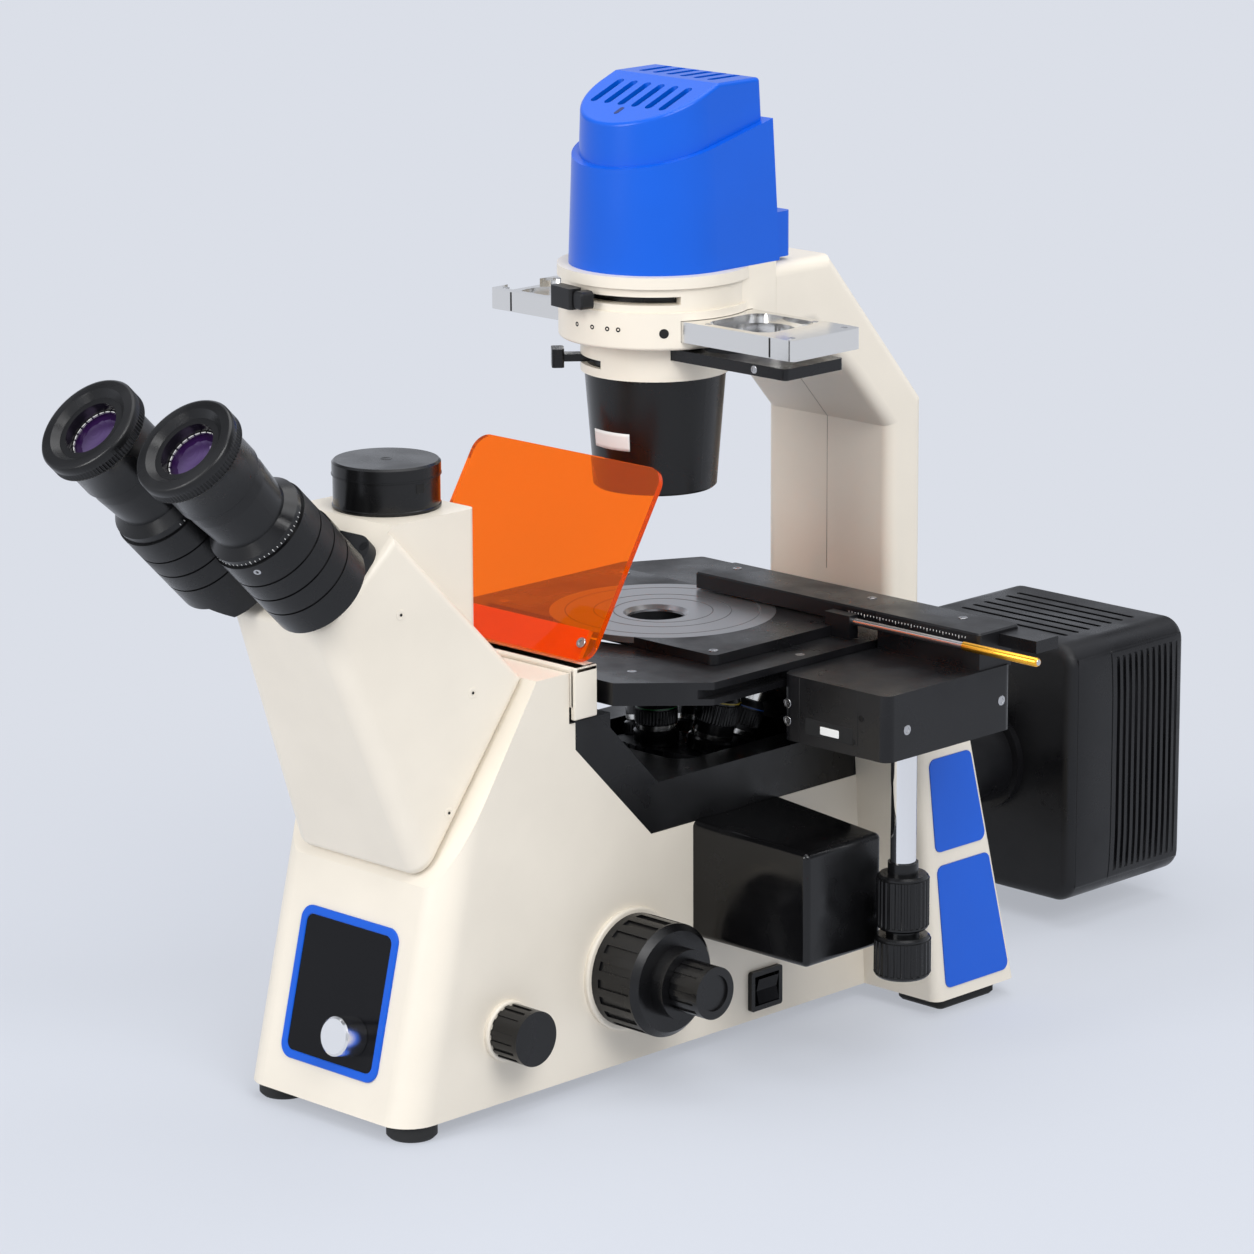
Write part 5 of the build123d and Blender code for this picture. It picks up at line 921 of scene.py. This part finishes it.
@dataclass
class EyeTubes(SubAssembly):
    """Binocular mount, arms, eyepieces and dioptre rings."""

    coats: ClassVar[Coats] = {
        BLACK_ANODISED: ("binocular_mount",),
        WRINKLE_BLACK: ("left_eye_arm", "right_eye_arm"),
        BLACK_BARREL: ("left_eyepiece", "right_eyepiece"),
        GRIP_BLACK: ("left_dioptre_ring", "right_dioptre_ring"),
        COATED_LENS: ("left_eye_lens", "right_eye_lens")}
    face: Triple = (0.0, -237.3, 254.2)
    half_distance: float = 32.4
    mount_screws: tuple[Triple, ...] = ((30.5, 30.5, 6.0), (-30.5, 30.5, 6.0))
    length: float = 126.0
    scale_radius: float = 23.02
    scale_height: float = 67.6
    stop_radius: float = 12.9
    stop_depth: float = 8.5
    set_screw_radius: float = 23.9
    set_screw_height: float = 62.0

    def point(self, across: float, up: float, out: float) -> np.ndarray:
        """A point given on the head's slanting face and out from it."""
        return np.array(self.face) + across * RIGHT + up * EYE_UP + out * EYE_OUT

    def dioptre_ring(self, side: Side, centre: np.ndarray) -> None:
        """The ring with its fine grip, which stands for the plain one of the frame."""
        top = self.length
        profile = ((16.55, 98.0, 0), (20.4, 98.0, 0), (21.0, 98.6, 0), (21.0, 115.0, 0), (21.6, 116.0, 0),
                   (24.2, 116.6, 0), (24.95, 117.4, 0), (24.95, 117.6, 0.55), (24.95, 121.4, 0.55),
                   (24.95, 121.6, 0), (24.95, top - 1.2, 0), (24.2, top - 0.2, 0), (23.4, top, 0),
                   (19.6, top, 0), (16.55, top - 3.0, 0), (16.55, 98.0, 0))
        name = f"{side.word}_dioptre"
        ring = self.bench.ribbed(f"{name}_grip", profile, centre, EYE_OUT, 90, 1.0,
                                 Wear(GRIP_BLACK, name, "black_plastic"))
        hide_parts(f"{name}_ring")

    def marks(self, name: str, foot: np.ndarray, radius: float, turn: np.ndarray, halves: np.ndarray,
              body: str) -> None:
        """White bars round a tube, or segments of a ring in it.

        Args:
            name: The piece's name.
            foot: Middle of their circle.
            radius: Radius of their circle.
            turn: Angle of each bar, in radians.
            halves: Half sizes outwards, round and along the tube.
            body: The body that they ride on.
        """
        out = np.cos(turn)[:, None] * RIGHT + np.sin(turn)[:, None] * EYE_UP
        axes = np.stack([out, np.cross(out, EYE_OUT), np.broadcast_to(EYE_OUT, out.shape)], 1)
        self.bench.bars(name, foot + radius * out, halves, marking(body), axes)

    def add_details(self) -> None:
        """Adds screws, dioptre grips, graduations and the bright field stops just over the lenses."""
        self.bench.screws("mount_screw", [self.point(*spot) for spot in self.mount_screws], EYE_OUT,
                          (2.4, 0.08), Wear(SCREW_BLACK, "stand", "black_anodised"))
        for side in Side:
            body = f"{side.word}_eye"
            centre = self.point(side.value * self.half_distance, 0, 0)
            out = side.value * 0.5 * RIGHT - np.sqrt(0.75) * EYE_UP
            spot = centre + self.set_screw_radius * out + self.set_screw_height * EYE_OUT
            self.bench.screw(f"{body}_set_screw", spot, out, (1.7, 0.25), steel(body))
            self.dioptre_ring(side, centre)
            turn = np.radians(np.arange(-150, 30, 6.0)) * side.value
            long = np.where(np.arange(len(turn)) % 5 == 0, 0.9, 0.5)
            halves = np.stack([np.full_like(turn, 0.05), np.full_like(turn, 0.14), long], -1)
            self.marks(f"{body}_scale", centre + self.scale_height * EYE_OUT, self.scale_radius, turn,
                       halves, body)
            self.marks(f"{side.word}_field_marks", centre + (self.length - self.stop_depth) * EYE_OUT,
                       self.stop_radius, np.radians(np.arange(0, 360, 15.0)), (0.25, 1.3, 0.12), body)


@dataclass
class StageTable(SubAssembly):
    """Stage plates, insert, rail, drive box, post and knobs."""

    coats: ClassVar[Coats] = {
        BLACK_ANODISED: ("stage_lower_plate", "stage_upper_plate", "stage_rail", "stage_drive_box"),
        INSERT_GREY: ("stage_insert",),
        CHROME: ("stage_post",),
        GROUND_STEEL: ("rack_rod",),
        GRIP_BLACK: ("x_knob", "y_knob")}
    lower_top: float = 199.8
    top: float = 205.0
    rail_top: float = 214.0
    insert_y: float = 5.0
    circles: Triple = (24.0, 33.0, 47.0)
    lower_screws: tuple[Pair, ...] = ((-55.0, 107.0), (55.0, 107.0), (58.4, -76.2), (-58.4, -76.2),
                                      (93.6, 1.9))
    rail_screws: tuple[Pair, ...] = ((81.6, 66.2), (140.0, 66.2), (-8.0, 66.2))
    upper_screws: tuple[Pair, ...] = ((72.0, 48.0), (-68.0, 48.0), (-68.0, -36.0), (73.0, -36.0))
    box_right: float = 168.0
    box_front: float = -19.0
    side_screws: tuple[Pair, ...] = ((-5.2, 177.9), (62.0, 179.3))
    front_screws: tuple[Pair, ...] = ((105.0, 182.0), (105.0, 173.5))
    front_plugs: tuple[Pair, ...] = ((151.8, 183.0), (146.5, 170.6))
    seam_centres: tuple[Pair, ...] = ((112.5, 180.0), (149.5, 182.5))
    seam_halves: tuple[Triple, ...] = ((0.18, 0.06, 15.6), (0.14, 0.06, 13.0))
    knob_foot: Triple = (148.0, 15.5, 0.0)
    rod_foot: Triple = (162.0, 41.5, 208.6)

    def screws(self) -> None:
        """Screw heads on the plates, the rail and the drive box's side."""
        for name, spots, height, body, proud in (
                ("lower_plate_screw", self.lower_screws, self.lower_top, "stand", 0.12),
                ("upper_plate_screw", self.upper_screws, self.top, "stage_x", 0.35),
                ("rail_screw", self.rail_screws, self.rail_top, "stage_y", 0.35)):
            self.bench.screws(name, [(x, y, height) for x, y in spots], UP, (2.3, proud), steel(body))
        self.bench.screws("box_side_screw", [(self.box_right, y, z) for y, z in self.side_screws], RIGHT,
                          (2.4, 0.3), steel("stage_y"))

    def markings(self) -> None:
        """Engraved circles on the insert and ruler ticks along the rail."""
        for place, radius in enumerate(self.circles):
            profile = ((radius, -0.1), (radius, 0.06), (radius + 0.6, 0.06), (radius + 0.6, -0.1))
            self.bench.turned(f"insert_circle_{place}", profile, (0, self.insert_y, self.top), UP, 120,
                              Wear(GREY_MARKING, "stage_x", "black_anodised"))
        x = np.arange(84.0, 160.0, 2.0)
        length = np.where(np.arange(len(x)) % 5 == 0, 1.6, 0.9)
        centres = np.stack([x, np.full_like(x, 46.98), self.rail_top - 2.5 - length / 2], -1)
        halves = np.stack([np.full_like(x, 0.15), np.full_like(x, 0.06), length / 2], -1)
        self.bench.bars("rail_scale", centres, halves, marking("stage_y"))

    def fittings(self) -> None:
        """The strip under the upper plate's front edge and the rack rod's gilt sleeve."""
        self.bench.plate("opening_apron", (0.0, -39.4, self.lower_top + 0.2), RIGHT, AWAY,
                         (76.0, 7.0, 0.97), 1.0, 0.1, Wear(BLACK_ANODISED, "stage_x", "black_anodised"))
        self.bench.turned("rod_sleeve", ((1.85, 0.0), (2.2, 0.0), (2.2, 45.0), (1.6, 45.9), (0.0, 45.9)),
                          self.rod_foot, RIGHT, 32, Wear(GILT, "stage_x", "machined_steel"))

    def box_face(self) -> None:
        """The drive box's front: the recessed scale window, drawn as a near-black plate of painted shade, its
        blank label, seams, screws and plugs.
        """
        face = self.box_front
        # Painted shade: a near-black plate stands for the recessed window.
        self.bench.plate("scale_window", (131.5, face + 0.05, 173.0), RIGHT, UP, (30.0, 8.0, 0.3), 1.0, 0.2,
                         recess("stage_y"))
        self.bench.plate("scale_window_label", (132.0, face - 0.2, 172.6), RIGHT, UP, (12.0, 4.0, 0.2), 0.6,
                         0.2, marking("stage_y"))
        self.bench.bars("drive_box_seams", [(x, face, z) for x, z in self.seam_centres], self.seam_halves,
                        recess("stage_y"))
        self.bench.screws("box_front_screw", [(x, face, z) for x, z in self.front_screws], -AWAY, (2.3, 0.3),
                          steel("stage_y"))
        self.bench.screws("box_front_plug", [(x, face, z) for x, z in self.front_plugs], -AWAY, (1.6, 0.2),
                          Wear(SCREW_BLACK, "stage_y", "black_anodised"))

    def knob_grips(self) -> None:
        """Ribbed sleeves on the two travel knobs."""
        for body, ends, radius in (("x_knob", (74.5, 98.5), 12.2), ("y_knob", (51.0, 68.5), 13.2)):
            self.bench.sleeve(f"{body}_grip", (radius - 0.8, radius + 0.55), ends, (0.6, 0.8), 1.0,
                              self.knob_foot, UP, 26, 1.5, Wear(GRIP_BLACK, body, "black_plastic"))

    def add_details(self) -> None:
        """Adds screws, markings, fittings, the drive box's front and the knobs' grips."""
        self.screws()
        self.markings()
        self.fittings()
        self.box_face()
        self.knob_grips()


@dataclass
class Shield(SubAssembly):
    """Orange shield in front of the lip of its folded bracket."""

    coats: ClassVar[Coats] = {ORANGE_ACRYLIC: ("uv_shield",)}
    foot: Triple = (0.0, -110.0, 211.0)
    lean: float = 31.6
    panel: float = 3.1
    sheet: float = 3.0
    fold: float = 1.2
    edge: float = 0.8
    lip_half: float = 54.0
    lip_high: float = 17.0
    half_width: float = 61.3
    front: float = -117.0
    rear: float = -102.0
    top: float = 209.0
    flange_low: float = 190.0
    leg_low: float = 184.0
    screws: tuple[Pair, ...] = ((54.5, 8.5), (-54.5, 8.5))

    def frame(self) -> tuple[np.ndarray, np.ndarray]:
        """Upward and outward direction of the leaning panel."""
        lean = np.radians(self.lean)
        return np.array([0.0, np.sin(lean), np.cos(lean)]), np.array([0.0, -np.cos(lean), np.sin(lean)])

    def bend(self, name: str, grid: Sequence, offset: float) -> Piece:
        """A sheet through a grid of points.

        Args:
            name: The piece's name.
            grid: Rows by columns of points.
            offset: The side that its thickness lies on, 1 or -1.

        Returns:
            The piece, with its thickness and its soft edges.
        """
        sheet = thicken(surface(name, self.bench.at(grid), wrap=False), self.sheet, offset)
        soft = sheet.modifiers.new("soft_edges", "BEVEL")
        soft.width = self.edge * MILLIMETRE
        soft.segments = 3
        return self.bench.fit(sheet, Wear(CREAM_CASTING, "stand", "cream_paint"))

    def folded(self) -> None:
        """The bracket, with the lip behind the panel: a path of folds drawn across its width.

        Point (s, t) lies on the fold path at s and at t times the half width across.
        """
        up, out = self.frame()
        root = np.array(self.foot) - (self.panel + 0.1) * out - self.fold * up
        path = np.array([[self.front, self.flange_low], [self.front, self.top - self.fold],
                         [self.front + self.fold, self.top], [root[1] - 0.6, self.top],
                         *(root[1:] + up[1:] * high for high in (2.0, self.lip_high))])
        half = np.array([self.half_width - 1.0] * 4 + [self.lip_half] * 2)
        across = half[:, None] * np.array([-1.0, 1.0])
        points = np.stack([across, np.repeat(path[:, :1], 2, 1), np.repeat(path[:, 1:], 2, 1)], -1)
        sheet = self.bend("bracket_sheet", points, -1.0)
        self.bend("bracket_shelf", [[(x, y, self.top) for x in (-self.half_width, self.half_width)]
                                    for y in (self.front + 1.0, self.rear)], -1.0)
        for side in Side:
            x = side.value * self.half_width
            self.bend(f"bracket_leg_{side.word}", [[(x, y, z) for y in (self.front, self.rear)]
                                                   for z in (self.leg_low, self.top)], -side.value)
        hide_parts("shield_bracket")

    def add_details(self) -> None:
        """Folds the bracket and adds the two screws that hold the panel."""
        self.folded()
        up, out = self.frame()
        for across, high in self.screws:
            centre = np.array(self.foot) + across * RIGHT + high * up - 0.1 * out
            self.bench.screw(f"shield_screw_{Side(int(np.sign(across))).word}", centre, out, (2.6, 1.0),
                             steel("stand"))


@dataclass
class LampArm(SubAssembly):
    """Pillar head: ring housing, levers, sliders, condenser cone and blue lamp cover."""

    coats: ClassVar[Coats] = {
        CREAM_COVER: ("lamp_ring_housing",),
        BLUE_MOULDING: ("lamp_cover",),
        BLACK_BARREL: ("condenser_cone",),
        BLACK_ANODISED: ("phase_slider",),
        GRIP_BLACK: ("field_iris_lever", "aperture_iris_lever"),
        MILLED: ("filter_slider", "lamp_heat_sink"),
        OPTICAL_GLASS: ("condenser_lenses",)}
    band_radius: float = 46.5
    band_marks: tuple[float, ...] = (-98.5, -85.6, -74.9, -67.8)
    mark_height: float = 352.8
    hole_angle: float = -40.6
    hole_height: float = 351.4
    label_angles: Pair = (-110.0, -68.5)
    label_heights: Pair = (291.0, 299.5)
    cone_radii: Pair = (29.7, 34.2)
    cone_foot: float = 270.0
    cone_height: float = 56.0
    slider_screws: tuple[Pair, ...] = ((106.0, -18.0), (106.0, 18.0), (86.0, 19.5), (54.0, -19.5),
                                       (-84.0, -18.0), (-84.0, 18.0))
    slider_top: float = 357.0
    clamp_slots: tuple[Triple, ...] = ((97.0, -23.52, 352.0), (-75.0, -23.52, 352.0))
    keyhole: Triple = (0.0, -24.0, 453.1)
    cover_slant: Triple = (0.0, 0.9272, 0.3746)
    wing_angle: float = -100.0
    wing_spot: Triple = (47.2, 12.4, 366.5)
    seam_ends: tuple[Triple, ...] = ((0, 122.95, 206.0), (0, 122.95, 284.0), (0, 97.0, 312.95),
                                     (0, 66.0, 342.9))

    @staticmethod
    def outward(angle: float) -> np.ndarray:
        """Outward direction at an angle about the optical axis."""
        turn = np.radians(angle)
        return np.array([np.cos(turn), np.sin(turn), 0.0])

    def band_details(self) -> None:
        """Round index marks and the locking screw's hole on the ring housing's band; the hole is a near-black
        disc of painted shade.
        """
        for place, angle in enumerate(self.band_marks):
            out = self.outward(angle)
            spot = (self.band_radius - 0.1) * out + self.mark_height * UP
            self.bench.ring(f"band_mark_{place}", (0.55, 1.15), (0.0, 0.18), spot, out, 24,
                            Wear(SCREW_BLACK, "stand", "black_anodised"))
        out = self.outward(self.hole_angle)
        spot = (self.band_radius - 0.2) * out + self.hole_height * UP
        # Painted shade: a near-black disc stands for the locking screw's hole.
        self.bench.ring("ring_lock_hole", (0.0, 2.3), (0.1, 0.3), spot, out, 32, recess("stand"))

    def slider_details(self) -> None:
        """Clamp slots, drawn as near-black bars of painted shade, and small screws of both sliders."""
        # Painted shade: near-black bars stand for the clamp slots.
        self.bench.bars("filter_slider_slots", self.clamp_slots, (0.5, 0.08, 4.6),
                        Wear(RECESS_SHADE_AND_JOINT, "filter_slider", "milled_aluminium"))
        self.bench.screws("filter_slider_screw", [(x, y, self.slider_top) for x, y in self.slider_screws], UP,
                          (1.7, 0.1), steel("filter_slider"))
        self.bench.screw("phase_slider_screw", (84.0, -20.0, 339.3), -AWAY, (1.9, 0.3), steel("phase_slider"))

    def grip_and_keyhole(self) -> None:
        """The smaller second part of the field iris lever's grip, and the cover's key-shaped dimple, drawn as a
        darker blue plate of painted shade.
        """
        out = self.outward(self.wing_angle)
        along = np.cross(UP, out)
        radius, beside, height = self.wing_spot
        self.bench.plate("field_lever_wing", radius * out + beside * along + height * UP, along, UP,
                         (7.6, 8.6, 7.0), 2.2, 0.8, Wear(GRIP_BLACK, "field_iris", "black_plastic"))
        slant = np.array(self.cover_slant)
        # Painted shade: a darker blue plate stands for the dimple's hollow.
        self.bench.plate("cover_keyhole", self.keyhole - 0.1 * np.cross(RIGHT, slant), RIGHT, slant,
                         (2.4, 6.4, 0.25), 1.15, 0.1, Wear(DIMPLE_SHADE_BLUE, "stand", "blue_plastic"))

    def seam(self) -> None:
        """The fine joint line between the two pillar shells, on the side that faces the condenser."""
        ends = np.array(self.seam_ends)
        run = np.diff(ends, axis=0)
        long = np.linalg.norm(run, axis=1)
        along = run / long[:, None]
        halves = np.stack([np.full_like(long, 0.12), np.full_like(long, 0.06), long / 2], -1)
        axes = np.stack([np.broadcast_to(RIGHT, along.shape), np.cross(along, RIGHT), along], 1)
        self.bench.bars("pillar_seam", (ends[:-1] + ends[1:]) / 2, halves,
                        Wear(SEAM_SHADE, "stand", "cream_moulding"), axes)

    def cone_label(self) -> None:
        """The blank plate on the cone: a patch of the cone's own surface, lifted and given a thickness."""
        turn, height = np.meshgrid(np.radians(np.linspace(*self.label_angles, 24)),
                                   np.linspace(*self.label_heights, 6), indexing="xy")
        low, high = self.cone_radii
        radius = low + (height - self.cone_foot) * (high - low) / self.cone_height + 0.05
        points = np.stack([radius * np.cos(turn), radius * np.sin(turn), height], -1)
        plate = soften(surface("cone_label", self.bench.at(points), wrap=False))
        self.bench.fit(thicken(plate, 0.3, 1.0), marking("stand"))

    def add_details(self) -> None:
        """Adds marks, screws, label plate, grip, keyhole and seam."""
        self.band_details()
        self.cone_label()
        self.slider_details()
        self.grip_and_keyhole()
        self.seam()


@dataclass
class Nosepiece(SubAssembly):
    """Carrier, turret and objectives."""

    coats: ClassVar[Coats] = {
        BLACK_CASTING: ("nosepiece_carrier",),
        BLACK_ANODISED: ("turret",),
        BLACK_BARREL: ("objectives",)}
    tilt: float = 11.0
    pitch_radius: float = 22.0
    seat: float = 140.0
    lengths: tuple[float, ...] = (46.0, 34.0, 50.0, 40.0, 48.0)
    active: int = 1
    barrel: float = 10.2
    colours: tuple[Triple, ...] = ((0.30, 0.01, 0.01), (0.01, 0.12, 0.03), (0.30, 0.22, 0.01),
                                   (0.01, 0.06, 0.25), (0.3, 0.3, 0.3))

    def direction(self, place: int) -> np.ndarray:
        """Direction of an objective's axis: straight up, turned about the turret's leaning axis.

        Turning v about the unit axis a by the angle t gives v cos t + (a x v) sin t + a (a . v)(1 - cos t).
        """
        tilt = np.radians(self.tilt)
        axis = np.array([0.0, np.sin(tilt), np.cos(tilt)])
        turn = np.radians(360 / len(self.lengths) * (place - self.active))
        return (UP * np.cos(turn) + np.cross(axis, UP) * np.sin(turn)
                + axis * np.dot(axis, UP) * (1 - np.cos(turn)))

    def add_details(self) -> None:
        """Adds a grip, a nickel band and foot and a colour ring to each objective, at parts of its length."""
        reach = self.pitch_radius / np.sin(np.radians(self.tilt))
        apex = (self.seat - reach) * UP
        nickel = Wear(NICKEL, "turret", "bright_steel")
        foot_section = ((self.barrel - 0.3, 7.4), (self.barrel + 0.12, 7.4), (self.barrel + 0.12, 9.8),
                        (self.barrel - 0.3, 9.8))
        for place, (long, colour) in enumerate(zip(self.lengths, self.colours)):
            along = self.direction(place)
            seat = apex + along * reach
            self.bench.sleeve(f"objective_grip_{place}", (9.6, 10.6), (0.30 * long, 0.52 * long),
                              (0.01 * long, 0.02 * long), 0.5, seat, along, 40, 1.0,
                              Wear(GRIP_BLACK, "turret", "black_anodised"))
            self.bench.ring(f"objective_band_{place}", (8.3, 8.9), (0.64 * long, 0.76 * long), seat, along,
                            48, nickel)
            coloured = Finish(f"objective_paint_{place}", colour, 0.35, grain_depth=0.005)
            self.bench.ring(f"objective_ring_{place}", (10.0, 10.3), (0.53 * long, 0.545 * long), seat,
                            along, 48, Wear(coloured, "turret", "black_anodised"))
            self.bench.turned(f"objective_sleeve_{place}", foot_section, seat, along, 48, nickel)


@dataclass
class RearLamp(SubAssembly):
    """Rear lamp housing, its tube and the arc lamp."""

    coats: ClassVar[Coats] = {
        HOUSING_BLACK: ("lamp_front_shell", "lamp_rear_shell", "illuminator_tube"),
        CERAMIC: ("arc_lamp",)}
    half_width: float = 60.0
    cheek_y: Pair = (250.0, 333.5)
    cheek_z: Pair = (22.0, 145.0)
    crown: float = 1.7
    seam_y: float = 276.0
    seam_half: float = 0.45
    seam_depth: float = 0.5
    louvre_first: float = 281.0
    louvre_pitch: float = 4.8
    louvres: int = 11
    louvre_half: Pair = (1.25, 57.5)
    louvre_depth: float = 1.5
    screw_across: float = 46.0
    screw_y: float = 337.7
    screw_heights: tuple[int, int] = (28, 140)

    def cheek(self, side: Side) -> None:
        """The slightly crowned side of the housing with its full-height louvres and the seam before them.

        With u and v from -1 to 1 across and up the side, the surface stands off by the crown times
        (1 - u^6)(1 - v^6). A louvre takes its depth away where the distance from its middle line is under
        half its width, and the seam does the same. The rim is sunk into the housing.
        """
        (front, rear), (low, high) = self.cheek_y, self.cheek_z
        y = np.linspace(front, rear, 521)
        z = np.concatenate([np.linspace(low, low + 9, 13), np.linspace(low + 10, high - 10, 9),
                            np.linspace(high - 9, high, 13)])
        across, up = np.meshgrid(y, z, indexing="xy")
        u = 2 * (across - front) / (rear - front) - 1
        v = 2 * (up - low) / (high - low) - 1
        rise = self.crown * (1 - u ** 6) * (1 - v ** 6)
        nearest = np.round((across - self.louvre_first) / self.louvre_pitch).clip(0, self.louvres - 1)
        distance = np.abs(across - self.louvre_first - nearest * self.louvre_pitch)
        half_width, half_height = self.louvre_half
        inside = np.clip((half_height - np.abs(up - (low + high) / 2)) / 0.8, 0, 1)
        groove = np.clip((half_width - distance) / 0.3, 0, 1) * inside
        seam = np.clip((self.seam_half - np.abs(across - self.seam_y)) / 0.15, 0, 1)
        cut = self.louvre_depth * groove + self.seam_depth * seam
        off = rise - np.minimum(cut, rise + 0.1) + 0.05
        off = np.where((np.abs(u) == 1) | (np.abs(v) == 1), -0.4, off)
        points = np.stack([side.value * (self.half_width + off), across, up], -1)
        cheek = soften(surface(f"lamp_cheek_{side.word}", self.bench.at(points), wrap=False), 30.0)
        self.bench.fit(cheek, Wear(HOUSING_BLACK, "stand", "black_paint"))

    def add_details(self) -> None:
        """Adds the cheeks and the closing screws."""
        for side in Side:
            self.cheek(side)
            for height in self.screw_heights:
                spot = (side.value * self.screw_across, self.screw_y, height)
                self.bench.screw(f"housing_screw_{side.word}_{height}", spot, AWAY, (2.4, 0.3),
                                 Wear(SCREW_BLACK, "stand", "black_paint"))


# ---- Studio ----------------------------------------------------------------------------------------------


@dataclass
class Studio:
    """Plain pale sweep, soft lamps and the camera at the photograph's viewing angle."""

    bench: Bench
    camera_place: Triple = (1735.01, -1779.55, 817.2)
    azimuth: float = 44.6
    elevation: float = 14.0
    roll: float = -0.25
    lens: float = 151.0048
    sensor: float = 36.0
    floor_colour: Triple = (0.54, 0.57, 0.635)
    floor_reach: float = 60.0
    floor_fade: Pair = (0.28, 0.75)
    floor_glow: float = 0.55
    backdrop: Triple = (0.708, 0.738, 0.807)
    sky_colour: Triple = (0.95, 0.97, 1.0)
    sky_level: float = 0.52
    strip_count: float = 5.0
    strip_phase: float = 0.9
    strip_swing: float = 0.46
    strip_level: float = 0.80

    def floor(self) -> None:
        """A wide floor: near the object it keeps a soft shadow, and farther out it is an even tone.

        It lies a fifth of a millimetre under the feet, and its fade is measured in metres.
        """
        span = np.array([-self.floor_reach, self.floor_reach])
        x, y = np.meshgrid(span, span, indexing="xy")
        sheet = surface("studio_floor", np.stack([x, y, np.full_like(x, -0.0002)], -1), wrap=False)
        material = bpy.data.materials.new("studio_floor")
        material.use_nodes = True
        graph = Graph(material.node_tree)
        shader = graph.tree.nodes["Principled BSDF"]
        graph.feed(shader, {"Base Color": (*self.floor_colour, 1.0), "Roughness": 0.7})
        glow = graph.add("Emission", {"Color": (*self.backdrop, 1.0)})
        distance = graph.vector("LENGTH", graph.add("TexCoord").outputs["Object"])
        near, far = self.floor_fade
        fade = graph.add("MapRange", {"Value": distance, "From Min": near, "From Max": far,
                                      "To Min": self.floor_glow}, interpolation_type="SMOOTHSTEP")
        mix = graph.add("MixShader", {0: fade.outputs["Result"], 1: shader.outputs[0], 2: glow.outputs[0]})
        graph.feed(graph.tree.nodes["Material Output"], {"Surface": mix.outputs[0]})
        sheet.data.materials.append(material)

    def sky(self) -> None:
        """A pale world: backdrop to the eye and through glass, soft strips in gloss, and dimmer as light."""
        world = bpy.data.worlds.new("studio")
        bpy.context.scene.world = world
        world.use_nodes = True
        graph = Graph(world.node_tree)
        soft = graph.tree.nodes["Background"]
        graph.feed(soft, {"Color": (*self.sky_colour, 1.0), "Strength": self.sky_level})
        rays = graph.add("LightPath").outputs
        direct = graph.maths("SUBTRACT", 1.0, rays["Is Glossy Ray"])
        level = graph.maths("MAXIMUM", direct, self.strips(graph))
        seen = graph.add("Background", {"Color": (*self.backdrop, 1.0), "Strength": level})
        clear = graph.maths("MAXIMUM", rays["Is Camera Ray"], rays["Is Transmission Ray"])
        shown = graph.maths("MAXIMUM", clear, rays["Is Glossy Ray"])
        mix = graph.add("MixShader", {0: shown, 1: soft.outputs[0], 2: seen.outputs[0]})
        graph.feed(graph.tree.nodes["World Output"], {"Surface": mix.outputs[0]})

    def strips(self, graph: Graph) -> Socket:
        """Soft upright light and dark strips all round, which give shape to the polished parts.

        The strength is a level plus a swing times the sine of a multiple of the azimuth.

        Args:
            graph: The world's graph.

        Returns:
            The strength's socket.
        """
        way = graph.add("SeparateXYZ", {0: graph.add("TexCoord").outputs["Generated"]}).outputs
        azimuth = graph.maths("ARCTAN2", way["Y"], way["X"])
        wave = graph.maths("SINE", graph.maths("MULTIPLY_ADD", azimuth, self.strip_count, self.strip_phase))
        return graph.maths("MULTIPLY_ADD", wave, self.strip_swing, self.strip_level)

    @staticmethod
    def lamp(name: str, place: Point, aim: float, size: Pair, power: float) -> None:
        """One soft rectangular lamp, turned to face the object.

        Args:
            name: The lamp's name.
            place: Where it stands, in metres.
            aim: Height over the origin that it faces, in metres.
            size: Its width and height in metres.
            power: Its power in watts.
        """
        light = bpy.data.lights.new(name, "AREA")
        light.shape = "RECTANGLE"
        light.size, light.size_y = size
        light.energy = power
        holder = bpy.data.objects.new(name, light)
        bpy.context.scene.collection.objects.link(holder)
        holder.location = place
        away = Vector(place) - Vector((0, 0, aim))
        holder.rotation_euler = away.to_track_quat("Z", "Y").to_euler()

    def camera(self) -> None:
        """The camera, placed by its calibrated position and angles."""
        eye = bpy.data.cameras.new("camera")
        eye.lens = self.lens
        eye.sensor_width = self.sensor
        eye.clip_end = 200.0
        holder = bpy.data.objects.new("camera", eye)
        bpy.context.scene.collection.objects.link(holder)
        holder.location = self.bench.at(np.array(self.camera_place))
        holder.rotation_mode = "XYZ"
        turn, tip, roll = (Matrix.Rotation(np.radians(angle), 4, axis) for angle, axis in (
            (self.azimuth, "Z"), (90.0 - self.elevation, "X"), (self.roll, "Z")))
        holder.rotation_euler = (turn @ tip @ roll).to_euler()
        bpy.context.scene.camera = holder

    def build(self) -> None:
        """Sets up floor, world, lamps and camera."""
        bpy.context.scene.view_settings.view_transform = "Standard"
        self.floor()
        self.sky()
        self.lamp("key_lamp", (1.9, -0.7, 1.9), 0.22, (1.4, 1.4), 40.0)
        self.lamp("front_lamp", (-0.3, -2.5, 1.3), 0.2, (1.1, 1.4), 34.0)
        self.lamp("top_lamp", (0.0, 0.3, 2.4), 0.2, (2.0, 2.0), 26.0)
        self.camera()


def main() -> None:
    """Loads the frame, builds each sub-assembly in order and sets the studio."""
    logging.basicConfig(level=logging.INFO, format="%(name)s: %(message)s")
    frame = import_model()
    nodes = frame["nodes"]
    bench = Bench.from_frame()
    for part in (Stand, Head, EyeTubes, StageTable, Shield, LampArm, Nosepiece, RearLamp):
        part(bench).build(nodes)
    Studio(bench).build()
    LOG.info("%d new pieces on %d nodes", bench.pieces, len(nodes))


if __name__ == "__main__":
    main()
